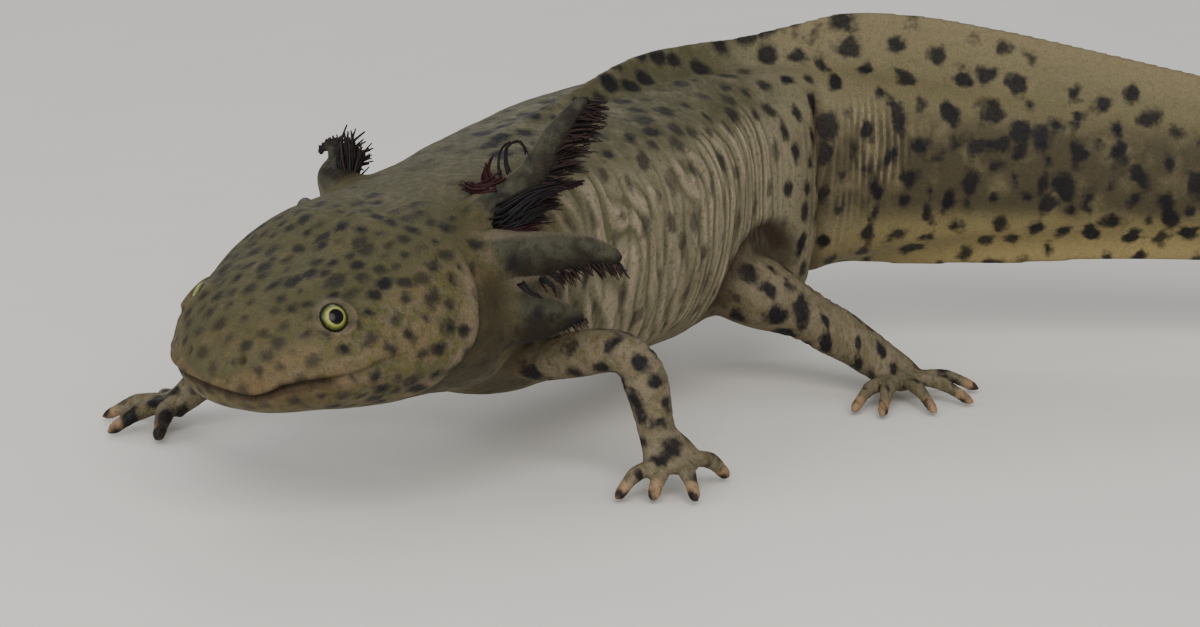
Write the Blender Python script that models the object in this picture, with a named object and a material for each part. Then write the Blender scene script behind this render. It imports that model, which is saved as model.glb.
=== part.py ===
"""A life-size axolotl, standing on its four feet with the tail afloat, as closed solids.

The design is in millimetres and MM turns it into metres. The animal faces -X, its left
side faces -Y and +Z is up. Every place on the body is given as a distance s along the
spine, which starts just ahead of the snout, a distance to the animal's left and a height
over the spine's line. The floor is z = 0.
"""

import math
import random

import bmesh
import bpy
import numpy as np

MM = 0.001
GAP = 0.3

# Spine: distance from its start, heading in degrees towards the animal's left, height.
LENGTH = 234.0
SNOUT_TIP = 1.3
SHOULDER = 50.0
SPINE_STEP = 0.5
HEADINGS = [(0, -2), (20, -2), (38, -5), (52, -12), (75, -14), (92, -8), (106, 8), (120, 32),
            (140, 50), (175, 53), (205, 46), (LENGTH, 34)]
HEIGHTS = [(0, 19.0), (3, 19.3), (6, 19.7), (12, 20.5), (20, 21.0), (28, 22.3), (35, 24.4),
           (41, 25.9), (50, 26.8), (75, 26.2), (100, 25.6), (118, 25.6), (135, 25.2),
           (165, 23.6), (205, 19), (LENGTH, 14)]

# Body: distance along the spine, half width, height above and depth below the spine,
# height of the dorsal fin and depth of the ventral fin beyond them.
BODY = [
    (SNOUT_TIP, 0.4, 0.4, 0.4, 0, 0),
    (1.9, 3.6, 1.7, 2.4, 0, 0),
    (2.8, 5.8, 2.9, 3.7, 0, 0),
    (4.2, 8.1, 4.3, 4.7, 0, 0),
    (7, 10.9, 6.1, 5.6, 0, 0),
    (12, 14.2, 8.5, 6.5, 0, 0),
    (20, 17.0, 11.5, 7.8, 0, 0),
    (26, 17.9, 13.1, 9.1, 0, 0),
    (31, 17.5, 13.1, 11.5, 0, 0),
    (36, 15.4, 12.1, 14.1, 0, 0),
    (42, 13.8, 11.4, 16.6, 0, 0),
    (50, 13.7, 11.0, 18.6, 0, 0),
    (58, 14.6, 11.6, 19.0, 0.3, 0),
    (66, 16.0, 12.2, 19.3, 0.5, 0),
    (80, 17.0, 13.0, 19.4, 0.7, 0),
    (88, 16.7, 13.3, 19.4, 1.2, 0),
    (95, 16.0, 13.6, 19.2, 2.4, 0),
    (106, 14.0, 13.7, 18.2, 2.8, 0),
    (114, 12.0, 13.7, 18.0, 2.6, 0),
    (119, 10.8, 13.6, 16.8, 3.8, 0),
    (125, 9.6, 13.2, 13.6, 6.0, 0.4),
    (135, 7.8, 12.0, 11.2, 7.4, 2.2),
    (147, 6.4, 10.6, 9.4, 7.4, 3.4),
    (165, 5.0, 8.8, 7.2, 6.4, 3.6),
    (190, 3.6, 6.4, 5.2, 5.4, 3.4),
    (215, 2.2, 3.6, 3.2, 4.0, 2.8),
    (229, 1.2, 1.6, 1.6, 2.0, 1.6),
    (LENGTH, 0.8, 0.8, 0.8, 0.8, 0.8),
]
BACK_FLAT = 1.0            # half width of the flat ridge that a fin stands on
ROUND_SECTION = 1.0
FULL_SECTION = 0.84        # the power that fills out the trunk's section

# Where one length of the body ends and the next begins.
HEAD_END = 32.5
NECK_END = 44.0
TORSO_END = 117.0
TAIL_BASE_END = 150.0
TAIL_MIDDLE_END = 192.0
DORSAL_FIN_START = 62.0
VENTRAL_FIN_START = 126.0
TAIL_TIP_END = LENGTH
FIN_EDGE = 0.3             # half thickness of a fin at its edge

# Mouth, nostrils and eyes.
SNOUT_CUTS = (SNOUT_TIP, 1.9, 2.8, 4.2, 5.8, 7.4)
HEAD_CUTS = (9, HEAD_END - 1, 2.25)
MOUTH_CORNER = 11.0
MOUTH_FADE = 2.5
MOUTH_DEPTH = 0.75
LOWER_LIP_INSET = 0.35
JAW_RECEDES = 0.45         # how far the lower jaw's tip lies behind the upper lip, per height
SNOUT_LEANS = 0.35
SNOUT_FADE = 6.0
NOSTRIL = (3.9, 6.0, 2.4)
NOSTRIL_RADIUS = 0.6
EYE = (12.1, 9.1, 5.3)
EYE_RADIUS = 2.1
EYE_RIM_RADIUS = 1.95
EYE_RIM_THICKNESS = 0.55
EYE_AXIS = (-0.42, 0.78, 0.46)

# Costal grooves on the flanks of the trunk.
GROOVE_FIRST = 54.0
GROOVE_SPACING = 4.2
GROOVE_COUNT = 12
GROOVE_DEPTH = 0.5

# Limbs: joints as points in millimetres, then half width and half depth at each.
SHOULDER_LEFT = (45, 9.0, -12)
SHOULDER_RIGHT = (45, -9.0, -12)
HIP_LEFT = (100, 9.5, -13.0)
HIP_RIGHT = (102, -9.5, -12.5)
LIMBS = {
    "arm_left": {
        "root": SHOULDER_LEFT,
        "joint": (1.3, -25.1, 16.2),
        "ankle": (2.8, -27.0, 7.4),
        "palm": (3.2, -29.2, 4.2),
        "tips": [(-4.6, -26.8), (-2.2, -30.4), (0.6, -34.8), (12.0, -30.4)],
        "girth": [3.8, 3.2, 2.9, 2.6],
        "foot": "forefoot_left",
        "names": ("upper_arm_left", "forearm_left"),
    },
    "arm_right": {
        "root": SHOULDER_RIGHT,
        "joint": (-6.0, 26.5, 15.0),
        "ankle": (-10.5, 36.0, 5.4),
        "palm": (-12.0, 38.6, 3.2),
        "tips": [(-6.5, 47.0), (-15.4, 47.6), (-20.6, 41.4), (-19.4, 34.0)],
        "girth": [3.8, 3.2, 2.9, 2.6],
        "foot": "forefoot_right",
        "names": ("upper_arm_right", "forearm_right"),
    },
    "leg_left": {
        "root": HIP_LEFT,
        "joint": (53.8, -10.9, 9.6),
        "ankle": (57.6, -19.2, 4.6),
        "palm": (57.6, -21.8, 2.9),
        "tips": [(46.8, -22.6), (47.4, -26.8), (53.0, -31.0), (60.2, -31.6), (66.8, -27.6)],
        "girth": [4.8, 4.0, 3.2, 2.7],
        "foot": "hindfoot_left",
        "names": ("thigh_left", "shank_left"),
    },
    "leg_right": {
        "root": HIP_RIGHT,
        "joint": (60.0, 30.0, 12.0),
        "ankle": (70.5, 33.0, 4.6),
        "palm": (73.0, 34.4, 2.9),
        "tips": [(72.6, 44.6), (79.0, 43.6), (84.0, 39.4), (84.4, 33.4), (78.4, 27.6)],
        "girth": [4.8, 4.0, 3.2, 2.7],
        "foot": "hindfoot_right",
        "names": ("thigh_right", "shank_right"),
    },
}
LIMB_SIDES = 12
LIMB_DEPTH = 0.92          # a limb's depth as a share of its width
LIMB_ROOT_DEPTH = 5.0      # how far inside the body a limb's line starts
LIMB_STEPS = 81
LIMB_EASE = 60
LIMB_CUTS = (9, 8)         # rings along the upper and the lower length of a limb

# Feet: the palm's sizes, then the digits'.
PALM_HALF_WIDTH = 3.6
PALM_HALF_DEPTH = 1.2
PALM_WIDTHS = (0.86, 1.0, 0.72)
PALM_DEPTHS = (1.35, 1.0, 0.6)
PALM_AHEAD = 1.6           # how far the palm runs on past its middle
PALM_DROP = 0.5
DIGIT_SIDES = 6
DIGIT_STEPS = 7
DIGIT_ROOT_RADIUS = 1.25
DIGIT_TIP_RADIUS = 0.62
DIGIT_ROOT_DEPTH = 0.6
DIGIT_FAN = 0.62           # share of the palm's width that the digits spring from
DIGIT_TIP_HEIGHT = 0.35
KNUCKLE_RISE = 0.9

# Gills: root on the body, the vector from root to tip, the way that the filaments hang,
# the stalk's half width and the share of it that is lost at the tip, the distance of the
# first filaments from the root and their length.
GILLS = {
    "gill_left_upper": ((40.5, 10.8, 8.4), (7.3, -7.8, 13.8), (0.75, -0.5, -0.55), 2.2, 0.6, 2.6, 4.6),
    "gill_left_middle": ((36.6, 13.9, 5.5), (10.4, -11.0, -0.4), (0.4, 0.2, -1.0), 2.6, 0.6, 3.8, 2.2),
    "gill_left_lower": ((34.0, 14.4, -0.6), (8.0, -7.4, -1.5), (0.3, 0.2, -1.0), 2.7, 0.84, 2.8, 1.9),
    "gill_right_upper": ((40.5, -10.8, 8.4), (6.4, 5.5, 5.2), (0.8, -0.45, -0.35), 2.3, 0.82, 2.5, 4.4),
    "gill_right_middle": ((36.6, -13.9, 5.5), (10.7, 10.1, 1.5), (0.4, -0.2, -1.0), 2.6, 0.6, 3.8, 2.2),
    "gill_right_lower": ((34.0, -14.4, -0.6), (10.6, 6.3, -0.6), (0.3, -0.2, -1.0), 2.7, 0.84, 2.8, 1.9),
}
GILL_ROOT_DEPTH = 4.0
GILL_SIDES = 8
GILL_STEPS = 8
GILL_THINNESS = 0.55       # a stalk's thickness as a share of its width
GILL_ARCH = 0.06
FILAMENT_SIDES = 4
FILAMENT_SPACING = 1.15
FILAMENT_RADIUS = 0.42
FILAMENT_TIP_RADIUS = 0.15
FILAMENT_SPREAD = math.radians(36)
FILAMENT_ROOT = 0.55       # place of the roots, as a share of the stalk's half width
FILAMENT_SWEEP = 0.35      # how far the filaments lean towards the gill's tip
FILAMENT_SEED = 8

SKIN = (0.235, 0.19, 0.135, 1.0)
FIN_SKIN = (0.33, 0.26, 0.185, 1.0)
GILL_SKIN = (0.07, 0.035, 0.035, 1.0)
IRIS = (0.42, 0.45, 0.16, 1.0)


def through(pairs):
    """A smooth function through (place, value) pairs."""
    places = np.array([pair[0] for pair in pairs], float)
    values = np.array([pair[1] for pair in pairs], float)
    slopes = np.gradient(values, places)

    def value_at(place):
        place = np.clip(place, places[0], places[-1])
        i = np.clip(np.searchsorted(places, place) - 1, 0, len(places) - 2)
        span = places[i + 1] - places[i]
        u = (place - places[i]) / span
        start = (2 * u**3 - 3 * u**2 + 1) * values[i] + (u**3 - 2 * u**2 + u) * span * slopes[i]
        end = (3 * u**2 - 2 * u**3) * values[i + 1] + (u**3 - u**2) * span * slopes[i + 1]
        return start + end

    return value_at


heading_at = through(HEADINGS)
height_at = through(HEIGHTS)
half_width_at, above_at, below_at, dorsal_at, ventral_at = [
    through([(row[0], row[column]) for row in BODY]) for column in range(1, 6)
]


def unit(vectors):
    return vectors / np.linalg.norm(vectors, axis=-1, keepdims=True)


def spine_frames():
    """Places s along the spine, its points, and its backward, left and upward directions."""
    s = np.arange(0, LENGTH + SPINE_STEP / 2, SPINE_STEP)
    heading = np.radians(heading_at(s))
    z = height_at(s)
    flat = np.sqrt(1 - np.gradient(z, s) ** 2)
    x = np.cumsum(np.cos(heading) * flat) * SPINE_STEP
    y = -np.cumsum(np.sin(heading) * flat) * SPINE_STEP
    shoulder = int(round(SHOULDER / SPINE_STEP))
    points = np.stack([x - x[shoulder], y - y[shoulder], z], axis=1)
    backward = unit(np.gradient(points, axis=0))
    left = unit(np.cross(backward, (0.0, 0.0, 1.0)))
    up = np.cross(left, backward)
    return s, points, backward, left, up


SPINE = spine_frames()


def frame_at(s):
    """The spine's point and its three directions at s."""
    places = SPINE[0]
    return [
        np.array([np.interp(s, places, column) for column in table.T]) for table in SPINE[1:]
    ]


def body_point(s, left=0.0, up=0.0):
    origin, _, to_left, to_up = frame_at(s)
    return origin + left * to_left + up * to_up


def filled_power(s):
    """Sections are elliptical at the snout and fuller along the trunk."""
    return np.interp(s, [HEAD_END / 2, NECK_END], [ROUND_SECTION, FULL_SECTION])


def section(s, columns, grow=0.0):
    """One half of the body's outline at s, top to bottom, as (left, up) pairs."""
    width = half_width_at(s)
    flat = min(BACK_FLAT, 0.5 * width)
    turn = np.linspace(0, math.pi, columns)
    power = filled_power(s)
    left = flat + (width - flat) * np.abs(np.sin(turn)) ** power
    reach = np.where(turn < math.pi / 2, above_at(s), below_at(s))
    up = reach * np.sign(np.cos(turn)) * np.abs(np.cos(turn)) ** power
    return left + grow * np.sin(turn), up + grow * np.cos(turn)


def ring_of(s, left, up):
    """The closed ring of a half outline and its mirror image, set across the spine at s."""
    origin, _, to_left, to_up = frame_at(s)
    left = np.concatenate([left, -left[::-1]])
    up = np.concatenate([up, up[::-1]])
    return origin + np.outer(left, to_left) + np.outer(up, to_up)


def costal_groove(s):
    """How deep the flank's grooves are at s, from 0 to 1."""
    count = (s - GROOVE_FIRST) / GROOVE_SPACING
    if count < -0.3 or count > GROOVE_COUNT - 0.7:
        return 0.0
    return max(0.0, 1 - abs(count - round(count)) * 4.4)


def tube_mesh(name, rings):
    """A closed mesh through rings of equal count, alike in its left and right halves."""
    count = len(rings[0])
    half = count // 2
    mesh = bmesh.new()
    grid = [[mesh.verts.new(point * MM) for point in ring] for ring in rings]
    for near, far in zip(grid, grid[1:]):
        for column in range(count):
            after = (column + 1) % count
            if column < half:
                mesh.faces.new((near[column], near[after], far[after]))
                mesh.faces.new((near[column], far[after], far[column]))
            else:
                mesh.faces.new((near[column], near[after], far[column]))
                mesh.faces.new((near[after], far[after], far[column]))
    mesh.faces.new(grid[0])
    mesh.faces.new(grid[-1])
    bmesh.ops.recalc_face_normals(mesh, faces=mesh.faces)
    data = bpy.data.meshes.new(name)
    mesh.to_mesh(data)
    mesh.free()
    return data


def new_object(name, data):
    made = bpy.data.objects.new(name, data)
    bpy.context.scene.collection.objects.link(made)
    return made


def tube(name, rings):
    return new_object(name, tube_mesh(name, rings))


def finish(made, colour, roughness):
    """Gives a piece its own material and rounds its shading."""
    material = bpy.data.materials.new(made.name)
    material.use_nodes = True
    shader = material.node_tree.nodes["Principled BSDF"]
    shader.inputs["Base Color"].default_value = colour
    shader.inputs["Roughness"].default_value = roughness
    made.data.materials.clear()
    made.data.materials.append(material)
    made.data.shade_smooth()
    return made


def evaluated_mesh(made):
    bpy.context.view_layer.update()
    graph = bpy.context.evaluated_depsgraph_get()
    return bpy.data.meshes.new_from_object(made.evaluated_get(graph))


def apply_boolean(made, operation, other, solver="EXACT"):
    """Joins or cuts a piece with one object, or with all of a collection."""
    modifier = made.modifiers.new(operation.title(), "BOOLEAN")
    modifier.operation = operation
    modifier.solver = solver
    if isinstance(other, bpy.types.Collection):
        modifier.operand_type = "COLLECTION"
        modifier.collection = other
    else:
        modifier.object = other
    mesh = evaluated_mesh(made)
    made.modifiers.clear()
    made.data = mesh


def fuse(made, pieces, solver="EXACT"):
    """Joins pieces to a node in one union and removes them."""
    group = bpy.data.collections.new(made.name + "_pieces")
    bpy.context.scene.collection.children.link(group)
    for piece in pieces:
        bpy.context.scene.collection.objects.unlink(piece)
        group.objects.link(piece)
    apply_boolean(made, "UNION", group, solver)
    for piece in pieces:
        bpy.data.objects.remove(piece)
    bpy.data.collections.remove(group)


def keep_largest(made):
    """Leaves only the largest closed surface of a piece."""
    mesh = bmesh.new()
    mesh.from_mesh(made.data)
    unseen = set(mesh.verts)
    shells = []
    while unseen:
        shell = {unseen.pop()}
        edge_of_shell = list(shell)
        while edge_of_shell:
            vertex = edge_of_shell.pop()
            for edge in vertex.link_edges:
                other = edge.other_vert(vertex)
                if other not in shell:
                    shell.add(other)
                    edge_of_shell.append(other)
        unseen -= shell
        shells.append(shell)
    largest = max(shells, key=lambda shell: sum(
        face.calc_area() for face in {face for vertex in shell for face in vertex.link_faces}
    ))
    stray = [vertex for vertex in mesh.verts if vertex not in largest]
    bmesh.ops.delete(mesh, geom=stray, context="VERTS")
    mesh.to_mesh(made.data)
    mesh.free()


def body_length(name, start, end, spacing, columns):
    """A length of the body from one cut to the next."""
    count = max(2, int(round((end - start) / spacing)) + 1)
    rings = [ring_of(s, *section(s, columns)) for s in np.linspace(start, end, count)]
    return tube(name, rings)


def head_lean(s, up):
    """How far back the snout's surface lies of its ring: the lower jaw recedes."""
    lean = np.where(up < 0, -JAW_RECEDES * up, -SNOUT_LEANS * up)
    return lean * math.exp((SNOUT_TIP - s) / SNOUT_FADE)


def head_rings(columns):
    """The head's rings, closer at the snout, with the line of the mouth let in at each side."""
    places = np.concatenate([SNOUT_CUTS, np.arange(*HEAD_CUTS), [HEAD_END]])
    middle = columns // 2
    rings = []
    for s in places:
        left, up = section(s, columns)
        ring = ring_of(s, left, up)
        ring += np.outer(head_lean(s, np.concatenate([up, up[::-1]])), frame_at(s)[1])
        rings.append(ring)
    rings = np.array(rings)
    along = np.gradient(rings, axis=0)
    across = np.roll(rings, -1, axis=1) - np.roll(rings, 1, axis=1)
    outward = unit(np.cross(across, along))
    centre = rings.mean(axis=1, keepdims=True)
    facing = np.sign(np.sum(outward * (rings - centre), axis=-1, keepdims=True))
    outward[1:] *= np.median(facing[1:])
    for row, s in enumerate(places):
        if row == 0:
            continue
        strength = np.clip((MOUTH_CORNER - s) / MOUTH_FADE, 0, 1)
        for side in (middle, 2 * columns - 1 - middle):
            rings[row, side] -= outward[row, side] * MOUTH_DEPTH * strength
            below = side + 1 if side == middle else side - 1
            rings[row, below] -= outward[row, below] * LOWER_LIP_INSET * strength
    return list(rings)


def ball(name, centre, radius, segments=14, rings=9):
    mesh = bmesh.new()
    bmesh.ops.create_uvsphere(mesh, u_segments=segments, v_segments=rings, radius=radius * MM)
    bmesh.ops.translate(mesh, verts=mesh.verts, vec=centre * MM)
    data = bpy.data.meshes.new(name)
    mesh.to_mesh(data)
    mesh.free()
    return new_object(name, data)


def hoop(name, centre, axis, radius, thickness, segments=18, sides=6):
    """A ring of round section about an axis."""
    axis = unit(np.array(axis, float))
    first = unit(np.cross(axis, (0.0, 0.0, 1.0)))
    second = np.cross(axis, first)
    mesh = bmesh.new()
    grid = []
    for turn in np.linspace(0, 2 * math.pi, segments, endpoint=False):
        outward = math.cos(turn) * first + math.sin(turn) * second
        grid.append([
            mesh.verts.new((centre + outward * (radius + thickness * math.cos(roll))
                            + axis * thickness * math.sin(roll)) * MM)
            for roll in np.linspace(0, 2 * math.pi, sides, endpoint=False)
        ])
    for row in range(segments):
        after = (row + 1) % segments
        for side in range(sides):
            beside = (side + 1) % sides
            mesh.faces.new((grid[row][side], grid[row][beside],
                            grid[after][beside], grid[after][side]))
    bmesh.ops.recalc_face_normals(mesh, faces=mesh.faces)
    data = bpy.data.meshes.new(name)
    mesh.to_mesh(data)
    mesh.free()
    return new_object(name, data)


def eye_place(side):
    """Centre of an eye and the way it looks; side is 1 on the left and -1 on the right."""
    s, left, up = EYE
    origin, backward, to_left, to_up = frame_at(s)
    looks = EYE_AXIS[0] * backward + side * EYE_AXIS[1] * to_left + EYE_AXIS[2] * to_up
    return origin + side * left * to_left + up * to_up, unit(looks)


def make_head_and_eyes():
    head = tube("head", head_rings(21))
    sides = {"left": 1, "right": -1}
    rims = []
    for side in sides.values():
        centre, looks = eye_place(side)
        rim_centre = centre + looks * math.sqrt(EYE_RADIUS**2 - EYE_RIM_RADIUS**2)
        rims.append(hoop("eye_rim", rim_centre, looks, EYE_RIM_RADIUS, EYE_RIM_THICKNESS))
    fuse(head, rims)
    for word, side in sides.items():
        centre, looks = eye_place(side)
        socket = ball("socket", centre, EYE_RADIUS + GAP)
        apply_boolean(head, "DIFFERENCE", socket)
        bpy.data.objects.remove(socket)
        s, left, up = NOSTRIL
        opening = body_point(s, side * left, up) + head_lean(s, up) * frame_at(s)[1]
        nostril = ball("nostril", opening, NOSTRIL_RADIUS, 8, 6)
        apply_boolean(head, "DIFFERENCE", nostril)
        bpy.data.objects.remove(nostril)
        eye = ball("eye_" + word, centre, EYE_RADIUS)
        finish(eye, IRIS, 0.2)
    keep_largest(head)
    finish(head, SKIN, 0.5)


def groove_flanks(s, left, up):
    """Draws the flanks in where a costal groove runs down them."""
    turn = np.linspace(0, math.pi, len(left))
    depth = GROOVE_DEPTH * costal_groove(s) * np.sin(turn) ** 2
    return left - depth, up


def torso_places():
    """Cuts across the trunk: at each costal groove and at both of its edges."""
    edge = GROOVE_SPACING * 0.24
    places = [NECK_END + GAP, (NECK_END + GROOVE_FIRST) / 2]
    for count in range(GROOVE_COUNT):
        groove = GROOVE_FIRST + count * GROOVE_SPACING
        places += [groove - edge, groove, groove + edge]
    last = places[-1]
    places += [last + (TORSO_END - last) * share for share in (0.33, 0.66, 1.0)]
    return places


def make_trunk_and_tail():
    neck = body_length("neck", HEAD_END + GAP, NECK_END, 2.6, 17)
    finish(neck, SKIN, 0.5)
    rings = []
    for s in torso_places():
        left, up = section(s, 15)
        left, up = groove_flanks(s, left, up)
        rings.append(ring_of(s, left, up))
    finish(tube("torso", rings), SKIN, 0.5)
    lengths = [
        ("tail_base", TORSO_END + GAP, TAIL_BASE_END, 14),
        ("tail_middle", TAIL_BASE_END + GAP, TAIL_MIDDLE_END, 12),
        ("tail_tip", TAIL_MIDDLE_END + GAP, TAIL_TIP_END, 10),
    ]
    for name, start, end, columns in lengths:
        finish(body_length(name, start, end, 3.6, columns), SKIN, 0.5)


def fin_ring(s, side):
    """The section of a fin at s; side is 1 on the back and -1 under the tail."""
    foot = above_at(s) if side > 0 else below_at(s)
    reach = dorsal_at(s) if side > 0 else ventral_at(s)
    half = min(BACK_FLAT, 0.5 * half_width_at(s))
    edge = min(FIN_EDGE, 0.6 * half)
    left = np.array([half, 0.5 * (half + edge), edge])
    up = side * np.array([foot + GAP, foot + GAP + 0.5 * reach, foot + GAP + reach])
    return ring_of(s, left, up)


def make_fins():
    lengths = [
        ("dorsal_fin_trunk", DORSAL_FIN_START, TORSO_END, 1, 3.4),
        ("dorsal_fin_tail_base", TORSO_END + GAP, TAIL_BASE_END, 1, 3.4),
        ("dorsal_fin_tail_middle", TAIL_BASE_END + GAP, TAIL_MIDDLE_END, 1, 4.0),
        ("dorsal_fin_tail_tip", TAIL_MIDDLE_END + GAP, TAIL_TIP_END, 1, 4.0),
        ("ventral_fin_tail_base", VENTRAL_FIN_START, TAIL_BASE_END, -1, 3.4),
        ("ventral_fin_tail_middle", TAIL_BASE_END + GAP, TAIL_MIDDLE_END, -1, 4.0),
        ("ventral_fin_tail_tip", TAIL_MIDDLE_END + GAP, TAIL_TIP_END, -1, 4.0),
    ]
    for name, start, end, side, spacing in lengths:
        count = int(round((end - start) / spacing)) + 1
        rings = [fin_ring(s, side) for s in np.linspace(start, end, count)]
        finish(tube(name, rings), FIN_SKIN, 0.45)


def tube_along(points, widths, depths, sides, level, along=None):
    """Rings of elliptical section along a path; level is the way that the depth lies."""
    points = np.array(points, float)
    if along is None:
        along = unit(np.gradient(points, axis=0))
    turns = np.linspace(0, 2 * math.pi, sides, endpoint=False) + math.pi / sides
    rings = []
    for point, ahead, width, depth in zip(points, along, widths, depths):
        across = unit(np.cross(ahead, level))
        over = np.cross(across, ahead)
        rings.append(point + width * np.outer(np.cos(turns), across)
                     + depth * np.outer(np.sin(turns), over))
    return rings


def smooth_path(corners, steps):
    """A smooth path through corner points: its points, their places and the corners' places."""
    corners = np.array(corners, float)
    spans = np.linalg.norm(np.diff(corners, axis=0), axis=1)
    places = np.concatenate([[0], np.cumsum(spans)])
    curves = [through(list(zip(places, column))) for column in corners.T]
    at = np.linspace(0, places[-1], steps)
    return np.stack([curve(at) for curve in curves], axis=1), at, places


def eased(points, rounds):
    """The path with its bends opened, its two ends held."""
    points = points.copy()
    for _ in range(rounds):
        points[1:-1] += 0.5 * (0.5 * (points[:-2] + points[2:]) - points[1:-1])
    return points


def limb_spine(limb):
    """The line of a limb from inside the body to the ankle, with its directions."""
    side = math.copysign(1.0, limb["root"][1])
    s, left, up = limb["root"]
    corners = [body_point(s, left - side * LIMB_ROOT_DEPTH, up + 1.0), body_point(s, left, up),
               limb["joint"], limb["ankle"]]
    path, at, places = smooth_path(corners, LIMB_STEPS)
    path = eased(path, LIMB_EASE)
    return path, unit(np.gradient(path, axis=0)), at, places


def make_limb(limb, body):
    """The upper and lower length of a limb, parted at the joint."""
    path, ahead, at, places = limb_spine(limb)
    root = body_point(*limb["root"])
    joint = np.array(limb["joint"])
    level = unit(np.cross(joint - root, np.array(limb["ankle"]) - joint))
    girth = through(list(zip(places, limb["girth"])))
    ends = [(0.0, places[2]), (places[2], places[3])]
    for name, (start, end), cuts in zip(limb["names"], ends, LIMB_CUTS):
        stations = np.linspace(start, end, cuts)
        points = np.stack([np.interp(stations, at, column) for column in path.T], axis=1)
        directions = np.stack([np.interp(stations, at, column) for column in ahead.T], axis=1)
        upper = start == 0.0
        if upper:
            points[-1] -= directions[-1] * GAP / 2
        else:
            points[0] += directions[0] * GAP / 2
        radii = girth(stations)
        rings = tube_along(points, radii, radii * LIMB_DEPTH, LIMB_SIDES, level, directions)
        made = tube(name, rings)
        if upper:
            apply_boolean(made, "DIFFERENCE", body)
            keep_largest(made)
        finish(made, SKIN, 0.5)
    return path[-1], ahead[-1], girth(places[-1])


def make_digits(palm, tips, out, level):
    """The digits of a foot, fanned over the palm's front edge and bent down to the floor."""
    across = unit(np.append(np.cross(level, out)[:2], 0.0))
    across *= math.copysign(1.0, np.dot(tips[-1] - tips[0], across))
    digits = []
    for tip, share in zip(tips, np.linspace(-1, 1, len(tips))):
        root = palm + across * share * PALM_HALF_WIDTH * DIGIT_FAN
        knuckle = 0.5 * (root + tip) + np.array((0.0, 0.0, KNUCKLE_RISE))
        line, _, _ = smooth_path([root - out * DIGIT_ROOT_DEPTH, root, knuckle, tip], DIGIT_STEPS)
        radii = np.linspace(DIGIT_ROOT_RADIUS, DIGIT_TIP_RADIUS, DIGIT_STEPS)
        digits.append(tube("digit", tube_along(line, radii, radii, DIGIT_SIDES, (0, 0, 1))))
    return digits


def cut_on_floor(foot):
    """Cuts a foot flat at the floor's level."""
    if min(vertex.co.z for vertex in foot.data.vertices) >= 0:
        return
    mesh = bmesh.new()
    bmesh.ops.create_cube(mesh, size=LENGTH * MM)
    bmesh.ops.translate(mesh, verts=mesh.verts, vec=(0, 0, -0.5 * LENGTH * MM))
    data = bpy.data.meshes.new("below_floor")
    mesh.to_mesh(data)
    mesh.free()
    below_floor = new_object("below_floor", data)
    apply_boolean(foot, "DIFFERENCE", below_floor)
    bpy.data.objects.remove(below_floor)


def make_foot(limb, wrist, ahead, wrist_radius):
    """Palm and digits in one piece."""
    palm = np.array(limb["palm"])
    tips = np.array([(x, y, DIGIT_TIP_HEIGHT) for x, y in limb["tips"]])
    start = wrist + ahead * GAP
    out = unit(np.append((tips.mean(axis=0) - wrist)[:2], 0.0))
    end = palm + out * PALM_AHEAD - np.array((0.0, 0.0, PALM_DROP))
    points = [start, 0.5 * (start + palm), palm, end]
    widths = [wrist_radius] + [PALM_HALF_WIDTH * share for share in PALM_WIDTHS]
    depths = [wrist_radius * LIMB_DEPTH] + [PALM_HALF_DEPTH * share for share in PALM_DEPTHS]
    level = unit(out * 0.8 + np.array((0.0, 0.0, 0.6)))
    along = unit(np.gradient(np.array(points), axis=0))
    along[0] = ahead
    foot = tube(limb["foot"], tube_along(points, widths, depths, LIMB_SIDES, level, along))
    fuse(foot, make_digits(palm, tips, out, level))
    cut_on_floor(foot)
    keep_largest(foot)
    finish(foot, SKIN, 0.5)


def turned(vector, axis, angle):
    """The vector turned about an axis."""
    kept = axis * np.dot(axis, vector)
    return (kept + (vector - kept) * math.cos(angle)
            + np.cross(axis, vector) * math.sin(angle))


def filament(base, out, ahead, length):
    """A thin tapered filament that bends towards the gill's tip."""
    middle = base + 0.5 * length * unit(out + 0.2 * FILAMENT_SWEEP * ahead)
    tip = base + length * unit(out + FILAMENT_SWEEP * ahead)
    radii = np.linspace(FILAMENT_RADIUS, FILAMENT_TIP_RADIUS, 3)
    return tube("filament", tube_along([base, middle, tip], radii, radii, FILAMENT_SIDES, ahead))


def make_filaments(path, at, widths, hang, first, length, chance):
    """Two rows of filaments along the hanging edge of a gill's stalk."""
    ahead = unit(path[-1] - path[0])
    hang = np.array(hang)
    down = unit(hang - ahead * np.dot(hang, ahead))
    places = np.arange(GILL_ROOT_DEPTH + first, at[-1] - 0.2, FILAMENT_SPACING)
    filaments = []
    for row in (-1, 1):
        for number, place in enumerate(places):
            place = place + 0.25 * row * FILAMENT_SPACING
            centre = np.array([np.interp(place, at, column) for column in path.T])
            base = centre + FILAMENT_ROOT * np.interp(place, at, widths) * down
            out = turned(down, ahead, row * FILAMENT_SPREAD * chance.uniform(0.8, 1.2))
            fullness = 0.75 + 0.35 * math.sin(math.pi * min(number / len(places), 0.75))
            reach = length * fullness * chance.uniform(0.88, 1.08)
            filaments.append(filament(base, out, ahead, reach))
    return filaments


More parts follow.
